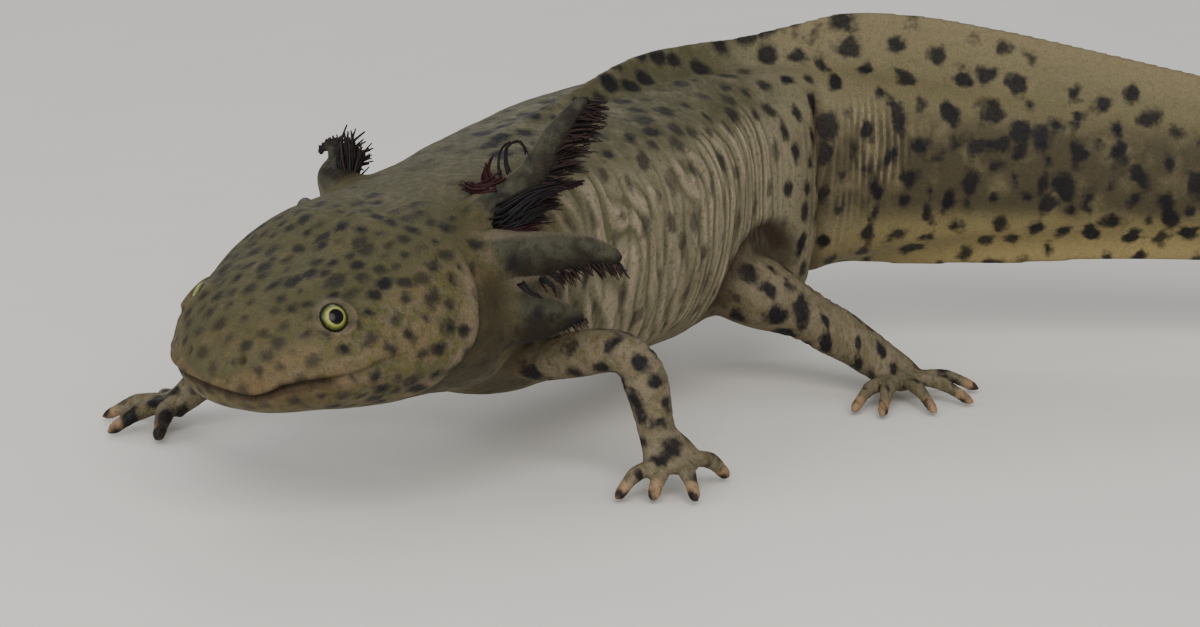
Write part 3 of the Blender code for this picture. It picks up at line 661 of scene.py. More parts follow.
def straightened(points):
    """Each point's s, left and up along the spine, with the snout's lean taken out."""
    s = SPINE[0][::5][nearest_on(SPINE[1][::5], points)[0]]
    for _ in range(4):
        origin, backward, _, _ = frame_at(s)
        s = np.clip(s + ((points - origin) * backward).sum(axis=1), 0, LENGTH)
    origin, *ways = frame_at(s)
    ahead, left, up = [((points - origin) * way).sum(axis=1) for way in ways]
    straight = s.copy()
    for _ in range(8):
        straight = np.clip(0.5 * straight + 0.5 * (s + ahead - head_lean(straight, up)), 0, LENGTH)
    return straight, left, up


FOOT_REACH = 5.0
LIMB_REACH = 7.5
TOE_REACH = 2.6
GILL_REACH = 5.5


class Places:
    """Where each of the skin's points is on the animal."""

    def __init__(self, points):
        self.points = points
        self.s, self.left, self.up = s, left, up = straightened(points)
        self.straight = np.stack([s, left, up], axis=1)
        reach = np.where(up > 0, above_at(s), below_at(s))
        width = half_width_at(s)
        self.outside = (np.hypot(left / width, up / reach) - 1) * np.minimum(width, reach)
        self.turn = np.arctan2(np.abs(left) / width, up / reach)
        self.edge = above_at(s) + dorsal_at(s)
        fin_line = (np.abs(left) < 3.0) & (s > DORSAL_FIN_START)
        self.fin = smooth_step(0.0, 1.5, self.outside) * fin_line
        self.foot = self.near([np.concatenate([limb_path(limb)[0][-3:]] + digit_lines(limb))
                               for limb in LIMBS], FOOT_REACH)
        self.limb = self.near([limb_path(limb)[0] for limb in LIMBS], LIMB_REACH)
        self.limb = np.maximum(self.limb, self.foot) * smooth_step(0.2, 2.4, self.outside)
        self.toe = self.near([line[-2:] for limb in LIMBS for line in digit_lines(limb)], TOE_REACH)
        self.gill = self.near([gill_path(name, GILL_STEPS)[0] for name in GILLS], GILL_REACH)
        self.gill *= smooth_step(0.3, 2.2, self.outside)
        self.body = 1 - np.maximum(self.limb, self.gill)

    def beside(self, line, reach):
        """The points within reach of a line, and the nearest of the line's points to each."""
        near = np.nonzero(self.near([line], reach) > 0)[0]
        return near, nearest_on(line, self.points[near])[0]

    def near(self, lines, reach):
        """1 close to one of the lines, falling to 0 at a distance of reach."""
        distance = np.full(len(self.points), 1e9)
        for line in lines:
            low = line.min(axis=0) - reach
            high = line.max(axis=0) + reach
            inside = np.nonzero(((self.points > low) & (self.points < high)).all(axis=1))[0]
            gaps = nearest_on(line, self.points[inside])[1]
            distance[inside] = np.minimum(distance[inside], gaps)
        return fade(0.6 * reach, reach, distance)


def blend_junctions(skin):
    """Takes the voxels' steps out and opens the angles where limbs, gills and fins leave."""
    mesh = skin.data
    points = smoothed(mesh, points_of(mesh), VOXEL_ROUNDS, keep_size=True)
    places = Places(points)
    gill_roots = [body_point(*gill["root"])[None] for gill in GILLS.values()]
    fin_foot = (np.abs(places.left) < 4.5) * smooth_step(50, 62, places.s)
    open_up = np.max([
        0.8 * places.near(limb_roots(), 14.0) * bump(places.outside, 0.6, 1.5),
        0.7 * places.near(gill_roots, 7.0) * bump(places.outside, 0.5, 1.5),
        0.9 * fin_foot * bump(places.outside, 0.3, 1.6),
    ], axis=0)
    set_points(mesh, smoothed(mesh, points, JUNCTION_ROUNDS, open_up))


def refine(skin, chosen):
    """Halves the faces of the chosen points, for finer relief there."""
    def halve(mesh):
        edges = [edge for edge in mesh.edges if all(chosen[vert.index] for vert in edge.verts)]
        bmesh.ops.subdivide_edges(mesh, edges=edges, cuts=1, use_grid_fill=True)

    edit(skin.data, halve)


# Relief of the skin

# How far apart the flank's folds lie, by s, on the hollow left side and the full right side.
FOLD_SPACING_LEFT = through([(46, 3.8), (70, 3.4), (88, 3.0), (100, 2.6), (112, 1.9), (124, 1.1),
                             (135, 1.1)])
FOLD_SPACING_RIGHT = through([(46, 4.6), (70, 4.4), (95, 4.0), (135, 3.6)])
FOLD_SLANT = 0.4
FOLD_HEIGHT = 0.06
GROOVES_START = 54.0
GROOVE_SPACING = 4.2
GROOVE_DEPTH = 0.12
SEGMENT_SPACING = 4.6
THROAT_FOLD = 31.5
HIP_CREASE = 122.0
# Stretches along s and, as a turn from the back, round the body: a mark rises between the
# first two numbers and falls between the last two.
FOLDS_ALONG = (44, 54, 122, 136)
FOLDS_AROUND = (0.62, 1.05, 2.2, 2.75)
GROOVES_ALONG = (50, 55, 104, 110)
GROOVES_AROUND = (0.7, 1.1, 2.1, 2.6)
CHEEK_EDGE_AROUND = (0.75, 1.15, 2.05, 2.5)
SEGMENTS_ALONG = (122, 134, 200, 222)
PALE_FLANK_ALONG = (44, 58, 116, 136)
# The skin's unevenness: how high and how wide.
UNEVENNESS = [(0.22, 14.0), (0.09, 5.0), (0.035, 1.7)]


def fold_phase(s, left):
    """How many folds lie before s."""
    steps = np.arange(40, 140, 0.5)
    counts = [np.interp(s, steps, np.cumsum(0.5 / spacing(steps)))
              for spacing in (FOLD_SPACING_LEFT, FOLD_SPACING_RIGHT)]
    return np.where(left > 0, *counts)


def fold_spacing(s, left):
    return np.where(left > 0, FOLD_SPACING_LEFT(s), FOLD_SPACING_RIGHT(s))


def flank_folds(places):
    """The trunk's vertical folds, -1 in a furrow and 1 on a ridge, and their strength."""
    s, up, on_left = places.s, places.up, places.left > 0
    straight = places.straight * (1.0, 1.0, 0.45)
    slant = FOLD_SLANT * (up - 2.0) * fade(72, 100, s)
    phase = fold_phase(s + slant, places.left)
    phase = phase + 0.7 * noise(straight, 8.0) + 0.6 * noise(straight, 3.4, 7.3)
    wave = np.cos(2 * math.pi * phase)
    wave = wave + 0.45 * (1 - wave**2)
    finer = np.cos(2 * math.pi * (2.3 * phase + 0.6 * noise(straight, 4.0, 2.2)))
    wave = 0.7 * wave + 0.25 * finer + 0.3 * noise(places.straight * (1.0, 1.0, 0.35), 1.3, 6.1)
    sac = smooth_step(104, 112, s) * on_left
    streaks = bump(s, 129, 6.0) * smooth_step(-3.0, 1.0, up) * on_left
    along = np.maximum(window(s, *FOLDS_ALONG) * (1 - 0.7 * sac), 0.65 * streaks)
    around = window(places.turn, *FOLDS_AROUND)
    patchy = np.clip(0.62 + 0.8 * noise(places.straight * (1.0, 1.0, 0.8), 3.6, 3.1), 0.12, 1.0)
    patchy *= 1 - 0.8 * places.near(limb_roots(), 9.0)
    return wave, along * around * patchy * places.body


def ring_marks(phase, spread):
    """A thin line at each whole number of the phase."""
    return bump(phase - np.round(phase), 0, spread)


def costal_grooves(places):
    """Thirteen deeper furrows between arm and leg."""
    phase = (places.s - GROOVES_START) / GROOVE_SPACING + 0.12 * noise(places.straight, 8.0, 1.7)
    where = window(places.s, *GROOVES_ALONG) * window(places.turn, *GROOVES_AROUND) * places.body
    # The grooves also carry painted shade in the skin's colour.
    return ring_marks(phase, 0.1) * where


mouth_line_at = through(MOUTH_LINE)

# Bumps across the mouth's line: the gap with the upper and the lower lip, and the cheek's fold.
LIPS = [(-0.8, -0.15, 0.36), (0.3, 0.75, 0.55), (-0.12, -1.0, 0.7)]
CHEEK_FOLD = [(-0.34, 0, 0.4), (0.12, -1.1, 0.8), (0.12, 1.1, 0.8)]


def mouth_relief(places):
    """Upper lip over lower lip, and the fold that climbs the cheek from the mouth's corner, with painted
    shade under the upper lip and in the fold.
    """
    s = places.s
    over = places.up - mouth_line_at(s) + MOUTH_TILT * fade(1.9, 4.6, s) * places.left
    over = over - 0.06 * noise(places.straight, 2.4, 5.2)
    on_head = places.body * (s < 20)
    mouth = fade(MOUTH_CORNER - 1.0, MOUTH_CORNER + 1.5, s) * on_head
    cheek = window(s, MOUTH_CORNER - 2.0, MOUTH_CORNER + 1.0, 14.0, 18.5) * on_head
    relief = bumps(over, LIPS) * mouth + bumps(over, CHEEK_FOLD) * cheek
    # Painted shade in the mouth's gap and in the cheek's fold.
    shade = np.maximum(0.9 * bump(over, -0.45, 0.8) * mouth, 0.3 * bump(over, 0, 0.4) * cheek)
    return relief, shade


# The cheek's rear edge: height over the spine, then s, from the gills down to the throat.
CHEEK_EDGE = through([(-9.0, 17.0), (-5.2, 21.0), (-2.3, 23.9), (-0.1, 26.9), (3.7, 29.2),
                      (8.0, 31.5), (12.0, 33.5)])


def cheek_relief(places):
    """The head's rear edge, proud of the neck, and the fold across the throat, with painted shade in the
    step behind the edge, in the throat's fold and on the neck under the gills.
    """
    turn, body = places.turn, places.body
    behind = places.s - CHEEK_EDGE(places.up) + 0.25 * noise(places.straight, 5.0, 4.4)
    around = window(turn, *CHEEK_EDGE_AROUND) * body
    lip = bump(behind, -1.3, 1.5) * around
    step = bump(behind, 0.8, 0.9) * around
    recover = window(behind, -0.2, 0.6, 0.6, 8.0) * around
    across = places.s - THROAT_FOLD - 0.02 * places.left**2
    beneath = smooth_step(2.2, 2.6, turn) * body
    gular = bump(across, 0.6, 0.6) * beneath
    swell = bump(across, -1.6, 1.8) * beneath
    relief = 0.32 * lip - 0.35 * step - 0.45 * recover - 0.5 * gular + 0.25 * swell
    # Painted shade on the neck behind the head's edge, under the gills.
    nape = (window(behind, 0.0, 1.3, 9.0, 19.0) * fade(3.0, 7.5, places.up)
            * fade(2.2, 2.6, turn) * body)
    # The second value is painted shade in the step behind the edge and in the throat's fold.
    return relief, np.maximum(0.4 * step, 0.7 * gular), lip, nape


# A nostril's pit and raised rim, as bumps round its middle.
PIT = (-0.55, 0, 0.42)
PIT_RIM = (0.12, 0.85, 0.35)


def nostril_relief(places):
    """A small pit with a raised rim on each side of the snout, and painted shade in the pit."""
    relief = np.zeros(len(places.points))
    shade = np.zeros(len(places.points))
    s, left, up = NOSTRIL
    for side in (1, -1):
        centre = body_point(s, side * left, up) + head_lean(s, up) * frame_at(s)[1]
        gap = np.linalg.norm(places.points - centre, axis=1)
        relief += bumps(gap, [PIT, PIT_RIM])
        # Painted shade in the pit.
        shade = np.maximum(shade, 0.85 * bump(gap, *PIT[1:]))
    return relief, shade


def eye_frame(side):
    """Centre of an eye, the way it looks and two directions across."""
    s, left, up = EYE
    origin, backward, to_left, to_up = frame_at(s)
    looks = unit(EYE_AXIS[0] * backward + side * EYE_AXIS[1] * to_left + EYE_AXIS[2] * to_up)
    across = unit(np.cross(looks, UP))
    return origin + side * left * to_left + up * to_up, looks, across, np.cross(across, looks)


EYE_OPENING = 1.72
EYE_RIM = 2.15
# The lid's rim and the furrow round it.
LID = [(0.34, EYE_RIM, 0.42), (-0.14, 3.1, 0.5)]


def seat_eyes(places, points):
    """Opens the skin round each eyeball, with a soft rim that hugs it."""
    points = points.copy()
    rim = np.zeros(len(points))
    for side in (1, -1):
        centre, looks, _, _ = eye_frame(side)
        offset = points - centre
        height = offset @ looks
        radial = np.linalg.norm(offset - height[:, None] * looks, axis=1)
        near = (radial < 4.5) & (height > -3.0)
        ball = np.sqrt(np.maximum(EYE_RADIUS**2 - radial**2, 0.0))
        hidden = fade(EYE_OPENING - 0.22, EYE_OPENING + 0.08, radial)
        rise = bumps(radial, LID)
        blend = smooth_step(1.95, 2.4, radial)
        hug = (1 - blend) * (0.75 * (ball + 0.16) + 0.25 * height + rise) + blend * (height + rise)
        wanted = np.where(radial < EYE_RADIUS, hug, height + rise)
        wanted = (1 - hidden) * wanted + hidden * (ball - 0.9)
        points[near] += ((wanted - height)[near, None]) * looks
        rim = np.maximum(rim, bump(radial, EYE_RIM - 0.1, 0.4) * near)
    return points, rim


# The head's swellings and hollows: height, place and spread along s, place and spread round it.
HEAD_SWELLINGS = {
    "jaw muscles": (0.55, 22, 6.5, 1.0, 0.38),
    "brows": (0.35, 11, 3.0, 0.95, 0.25),
    "hollow between the eyes": (-0.25, 15, 8.0, 0.0, 0.3),
    "snout's flanks": (-0.25, 6.0, 2.6, 0.9, 0.3),
}


def head_form(places):
    """The head's broad swellings and the groove along its midline."""
    form = -0.22 * bump(places.left, 0, 0.7) * bump(places.s, 24, 9.0) * (places.up > 0)
    for height, s, length, turn, width in HEAD_SWELLINGS.values():
        form += height * bump(places.s, s, length) * bump(places.turn, turn, width)
    return fade(30, 36, places.s) * places.body * form


def limb_folds(places):
    """Creases round elbows, knees, wrists and ankles."""
    relief = np.zeros(len(places.points))
    for limb in LIMBS:
        path, at, corners = limb_path(limb)
        near, nearest = places.beside(path, 6.0)
        along = at[nearest]
        wrinkled = bumps(along, [(1.0, corners[2], 3.0), (0.8, corners[3], 2.2)])
        wave = np.cos(2 * math.pi * (along / 1.35 + 0.3 * noise(places.points[near], 3.0)))
        relief[near] += 0.07 * wave * wrinkled
    return relief * places.limb


# The arched crease over the left thigh, and the line of its painted shade.
THIGH_CREASE = [(94.6, 12.4, -14.0), (94.2, 14.3, -10.2), (97.0, 15.0, -7.2), (102.5, 14.8, -5.2),
                (107.5, 13.8, -5.4), (111.5, 12.8, -8.0)]
# Painted shade on the skin between the thigh and the sac.
GROIN = (107.5, 13.0, -9.5)


def hip_relief(places):
    """The loose sac of the hip, the creases behind and below it and round the limbs' roots, with painted
    shade in these creases and between the thigh and the sac.
    """
    left = smooth_step(0.0, 2.0, places.left) * places.body
    wander = places.s - HIP_CREASE + 0.5 * noise(places.straight, 4.0, 8.8)
    sac = 0.9 * bump(wander, -5.5, 4.5) * smooth_step(0.9, 1.5, places.turn)
    crease = bump(wander, 0.0, 1.1) * smooth_step(0.55, 1.0, places.turn)
    arch, _, _ = smooth_path([body_point(*corner) for corner in THIGH_CREASE], 40)
    near = np.nonzero((places.left > 4) & (np.abs(places.s - 103) < 14))[0]
    over_thigh = nearest_on(arch, places.points[near])[1]
    arched, shaded = np.zeros((2, len(places.points)))
    arched[near] = bump(over_thigh, 0.0, 1.0)
    shaded[near] = bump(over_thigh, 0.3, 1.4)
    pit = places.near(limb_roots(), 10.5) * bump(places.outside, 0.8, 1.0)
    # Painted shade between the thigh and the sac.
    groin = 0.9 * places.near([body_point(*GROIN)[None]], 6.5) * places.body
    relief = left * (sac - crease) - 0.35 * pit - 0.65 * arched
    # Painted shade in the creases, round the limbs' roots and along the thigh's arch.
    return relief, np.maximum(0.5 * left * crease + 0.6 * pit, 0.9 * shaded), groin


def tail_segments(places):
    """Faint chevrons where the tail's muscle blocks meet."""
    bend = np.abs(places.up + 1.0) * 0.45
    phase = (places.s + bend) / SEGMENT_SPACING + 0.1 * noise(places.straight, 6.0)
    flank = fade(-1.4, 0.2, places.outside - 1.0)
    return -0.09 * ring_marks(phase, 0.12) * window(places.s, *SEGMENTS_ALONG) * flank * places.body


def model_relief(skin):
    """Moves the skin's points into its folds, lips and rims and returns what colours need."""
    mesh = skin.data
    points = points_of(mesh)
    places = Places(points)
    wave, strength = flank_folds(places)
    grooves = costal_grooves(places)
    mouth, mouth_shade = mouth_relief(places)
    cheek, cheek_shade, cheek_lip, nape = cheek_relief(places)
    hip, hip_shade, groin = hip_relief(places)
    nostrils, nostril_shade = nostril_relief(places)
    relief = strength * wave * FOLD_HEIGHT * fold_spacing(places.s, places.left)
    relief -= GROOVE_DEPTH * grooves
    relief += mouth + cheek + nostrils + head_form(places) + limb_folds(places)
    relief += tail_segments(places) + hip
    calm = 1 - 0.75 * places.fin - 0.6 * places.toe
    for height, size in UNEVENNESS:
        relief += calm * height * noise(places.straight, size)
    normals = vectors_of(mesh.vertex_normals, "vector")
    points, rim = seat_eyes(places, points + relief[:, None] * normals)
    points[:, 2] = np.maximum(points[:, 2], LOWEST)
    set_points(mesh, points)
    marks = {
        # Ridges: pale, partly the skin's own colour and partly painted highlight; furrows and costal
        # grooves: painted shade.
        "fold": np.clip(strength * wave, -1, 1) - 0.8 * grooves,
        # Painted shade in the mouth's gap, the cheek's step, the throat's fold, the nostrils' pits and
        # the hip's creases.
        "crease": np.clip(mouth_shade + cheek_shade + nostril_shade + hip_shade, 0, 1),
        # Painted shade under the gills and between the thigh and the sac.
        "nape": np.maximum(nape, groin),
        "edge": cheek_lip,
        "rim": rim,
    }
    return places, marks


# Markings

# Each kind of spot: closest spacing, smallest and largest radius, stretch along s and up,
# share of the places that stay bare, darkness.
SPOT_KINDS = {
    "snout": (2.1, 0.35, 0.8, 1.1, 1.0, 0.05, 0.75),
    "crown": (1.8, 0.4, 0.9, 1.35, 1.0, 0.03, 0.95),
    "cheek": (2.2, 0.5, 1.0, 1.1, 1.0, 0.03, 1.0),
    "nape": (3.0, 0.5, 1.0, 1.2, 1.0, 0.35, 0.6),
    "ridge": (3.0, 1.0, 1.6, 1.1, 1.0, 0.03, 1.0),
    "back": (2.9, 0.6, 1.3, 1.3, 1.0, 0.06, 0.9),
    "flank": (3.9, 0.6, 1.2, 0.9, 1.3, 0.08, 0.75),
    "belly": (4.0, 0.5, 1.0, 1.0, 1.0, 0.2, 0.6),
    "tail": (2.75, 0.55, 1.5, 0.9, 1.3, 0.0, 1.0),
    "fin": (3.5, 0.85, 1.55, 0.95, 1.15, 0.0, 1.0),
    "hem": (3.0, 0.3, 0.6, 1.0, 1.0, 0.85, 0.8),
    "limb": (3.0, 0.75, 1.7, 1.1, 1.1, 0.0, 1.0),
    "foot": (2.2, 0.6, 1.2, 1.1, 1.1, 0.05, 1.0),
    "gill": (2.4, 0.4, 0.8, 1.0, 1.2, 0.2, 0.8),
}
SNOUT_SPOTS_END = 9
HEAD_SPOTS_END = 34
NAPE_SPOTS_END = 54
RIDGE_SPOTS_END = 128
TAIL_SPOTS_START = 112
BOLD_KINDS = ("tail", "fin", "limb", "foot", "ridge")
SPOT_SEED = 21
SPOT_TRIES = 26000
SPOT_REACH = 7.0
SPOT_FARTHEST = 3.0
SPOT_STRETCH = (0.8, 1.3)
SPOT_TILT = (-0.5, 0.5)


def kind_of(places, index, chance):
    """The kind of spot that a point of the skin carries; borders are mixed at random."""
    if places.gill[index] > 0.5:
        return "gill"
    if places.limb[index] > 0.5:
        return "foot" if places.foot[index] > 0.5 else "limb"
    s = places.s[index] + chance.uniform(-3, 3)
    up, turn = places.up[index], places.turn[index]
    if s < SNOUT_SPOTS_END:
        return "snout"
    if s < HEAD_SPOTS_END:
        return "crown" if turn < 0.9 + chance.uniform(-0.2, 0.2) else "cheek"
    if s < NAPE_SPOTS_END and turn < 0.85:
        return "nape"
    if turn < 0.25 and s < RIDGE_SPOTS_END:
        return "ridge"
    if s > TAIL_SPOTS_START:
        if up > places.edge[index] - 1.0:
            return "hem"
        return "tail" if abs(up - 1.0) < 6.5 + chance.uniform(-1, 1) else "fin"
    if turn < 0.85 + chance.uniform(-0.1, 0.1):
        return "back"
    return "belly" if turn > 2.3 else "flank"


def spot_field(places):
    """Distance to the edge of the nearest spot, negative inside it, and that spot's darkness."""
    chance = random.Random(SPOT_SEED)
    order = np.argsort(places.s)
    sorted_s = places.s[order]
    taken = np.empty((0, 4))
    field = np.full(len(order), SPOT_FARTHEST)
    dark = np.zeros(len(order))
    for _ in range(SPOT_TRIES):
        index = chance.randrange(len(order))
        kind = kind_of(places, index, chance)
        spacing, small, large, along, tall, bare, darkness = SPOT_KINDS[kind]
        here = places.points[index]
        apart = 0.5 * (spacing + taken[:, 3])
        if len(taken) and (((taken[:, :3] - here) ** 2).sum(axis=1) < apart**2).any():
            continue
        taken = np.vstack([taken, [*here, spacing]])
        if chance.random() < bare:
            continue
        radius = small + (large - small) * chance.random() ** 1.4
        tilt = chance.uniform(*SPOT_TILT)
        stretch_s = along * chance.uniform(*SPOT_STRETCH)
        stretch_up = tall * chance.uniform(*SPOT_STRETCH)
        low, high = np.searchsorted(sorted_s, places.s[index] + np.array([-SPOT_REACH, SPOT_REACH]))
        near = order[low:high]
        gap_s, gap_left, gap_up = (places.straight[near] - places.straight[index]).T
        turned_s = gap_s * math.cos(tilt) + gap_up * math.sin(tilt)
        turned_up = gap_up * math.cos(tilt) - gap_s * math.sin(tilt)
        distance = np.sqrt((turned_s / stretch_s) ** 2 + (turned_up / stretch_up) ** 2
                           + gap_left**2) - radius
        closer = distance < field[near]
        field[near[closer]] = distance[closer]
        faintest = 0.9 if kind in BOLD_KINDS else 0.72
        dark[near[closer]] = darkness * chance.uniform(faintest, 1.0)
    return field, dark


def gill_sides(places):
    """How far a gill's points lie towards its filaments: from -1 to 1."""
    toward = np.zeros(len(places.points))
    for name in GILLS:
        path, _, widths = gill_path(name, GILL_STEPS)
        _, down, _ = gill_frames(name, path)
        near, nearest = places.beside(path, 5.0)
        offset = ((places.points[near] - path[nearest]) * down[nearest]).sum(axis=1)
        toward[near] = np.clip(offset / widths[nearest], -1, 1)
    return toward


def write_marks(skin, places, marks):
    """Stores what the skin's material reads, on the mesh's points."""
    field, dark = spot_field(places)
    s, up, body = places.s, places.up, places.body
    reach = np.where(up > 0, above_at(s) + dorsal_at(s), below_at(s) + ventral_at(s))
    margin = smooth_step(0.62, 0.96, np.abs(up) / reach) * smooth_step(108, 124, s)
    tail = smooth_step(110, 126, s) * body
    marks = {
        "spot": field,
        "dark": dark,
        "snout": fade(5, 13, s) * body,
        "tail": tail,
        "band": fade(4.0, 8.5, np.abs(up - 0.8)) * tail,
        "margin": margin * body * (up > 0),
        "under": smooth_step(0.3, 0.85, -up / reach) * smooth_step(112, 150, s) * body,
        "belly": smooth_step(1.9, 2.7, places.turn) * body,
        "back": fade(0.7, 1.05, places.turn) * fade(104, 122, s) * body,
        "flank": window(s, *PALE_FLANK_ALONG) * body,
        "limb": places.limb,
        "toe": places.toe * places.limb,
        "gill": places.gill,
        # Drives the gill stalks' painted shade on the hanging side and painted highlight on the upper
        # edge.
        "fringe": gill_sides(places),
        "place": places.straight,
        **marks,
    }
    for name, values in marks.items():
        store(skin.data, name, values)


class Nodes:
    """Short words for building a material's nodes."""

    def __init__(self, name):
        self.material = bpy.data.materials.new(name)
        self.material.use_nodes = True
        self.tree = self.material.node_tree
        self.shader = self.tree.nodes["Principled BSDF"]

    def put(self, node, values):
        """Links each of a node's inputs to a socket, or sets its number or colour."""
        for key, value in values.items():
            if isinstance(value, bpy.types.NodeSocket):
                self.tree.links.new(value, node.inputs[key])
            else:
                node.inputs[key].default_value = value

    def add(self, kind, values, output=0, **settings):
        """One output of a new node with these inputs and settings."""
        node = self.tree.nodes.new("ShaderNode" + kind)
        for name, value in settings.items():
            setattr(node, name, value)
        self.put(node, values)
        return node.outputs[output]

    def shade(self, values):
        """Sets or links the shader's inputs and returns the material."""
        self.put(self.shader, values)
        return self.material

    def attribute(self, name, output="Fac"):
        return self.add("Attribute", {}, output, attribute_name=name)

    def math(self, operation, first, second):
        return self.add("Math", {0: first, 1: second}, operation=operation)

    def times(self, first, second):
        return self.math("MULTIPLY", first, second)

    def span(self, value, low, high, to_low=0.0, to_high=1.0):
        """The value's way from low to high, eased at both ends."""
        values = dict(enumerate((value, low, high, to_low, to_high)))
        return self.add("MapRange", values, interpolation_type="SMOOTHSTEP")

    def mix(self, share, first, second, blend="MIX"):
        values = {0: share, 6: first, 7: second}
        return self.add("Mix", values, 2, data_type="RGBA", blend_type=blend)

    def layers(self, base, rows):
        """A colour under layers of another, each on as much of the skin as its mark and share say."""
        for mark, share, tint in rows:
            base = self.mix(self.times(self.attribute(mark), share), base, tint)
        return base

    def noise(self, place, scale, detail=3.0, rough=0.55):
        values = {"Vector": place, "Scale": scale, "Detail": detail, "Roughness": rough}
        return self.add("TexNoise", values, "Fac")

    def wander(self, place, scale, detail, rough, amount):
        """Noise that strays to both sides of nought, by up to half the amount."""
        return self.times(self.math("SUBTRACT", self.noise(place, scale, detail, rough), 0.5), amount)

    def bump(self, height, distance, strength):
        return self.add("Bump", {"Strength": strength, "Distance": distance, "Height": height})


def colour(red, green, blue):
    return (red, green, blue, 1.0)


SKIN_TAN = colour(0.1, 0.078, 0.03)
SKIN_OLIVE = colour(0.056, 0.058, 0.019)
SKIN_MAUVE = colour(0.135, 0.094, 0.074)
SNOUT_TINT = colour(0.105, 0.068, 0.032)
FLANK_TAN = colour(0.185, 0.165, 0.108)
# Pale ridge colour, partly the skin's own and partly painted highlight.
RIDGE_PALE_AND_HIGHLIGHT = colour(0.29, 0.238, 0.167)
# Painted shade in the furrows.
FURROW_SHADE = colour(0.066, 0.063, 0.032)
BACK_OLIVE = colour(0.06, 0.056, 0.027)
TAIL_TAN = colour(0.125, 0.107, 0.056)
BAND_BROWN = colour(0.036, 0.029, 0.015)
MARGIN_PALE = colour(0.165, 0.135, 0.075)
UNDER_PALE = colour(0.42, 0.32, 0.13)
BELLY_PALE = colour(0.12, 0.1, 0.045)
LIMB_TAN = colour(0.15, 0.124, 0.081)
TOE_PINK = colour(0.3, 0.18, 0.1)
SPOT_DARK = colour(0.006, 0.0055, 0.008)
FRECKLE = colour(0.045, 0.041, 0.022)
# Painted shade for creases, pits and the mouth's gap.
CREASE_SHADE = colour(0.02, 0.01, 0.006)
# Painted shade under the gills and by the thigh.
NAPE_SHADE = colour(0.032, 0.026, 0.014)
GILL_EDGE = colour(0.036, 0.037, 0.025)
# Dark of a gill stalk's hanging side: partly the filaments' bases and partly painted shade.
GILL_DARK_AND_SHADE = colour(0.01, 0.008, 0.006)
# Pale of the cheek's edge and the eye's rim, and the painted highlight on a gill stalk's upper edge.
PALE_SKIN_AND_HIGHLIGHT = colour(0.16, 0.125, 0.09)


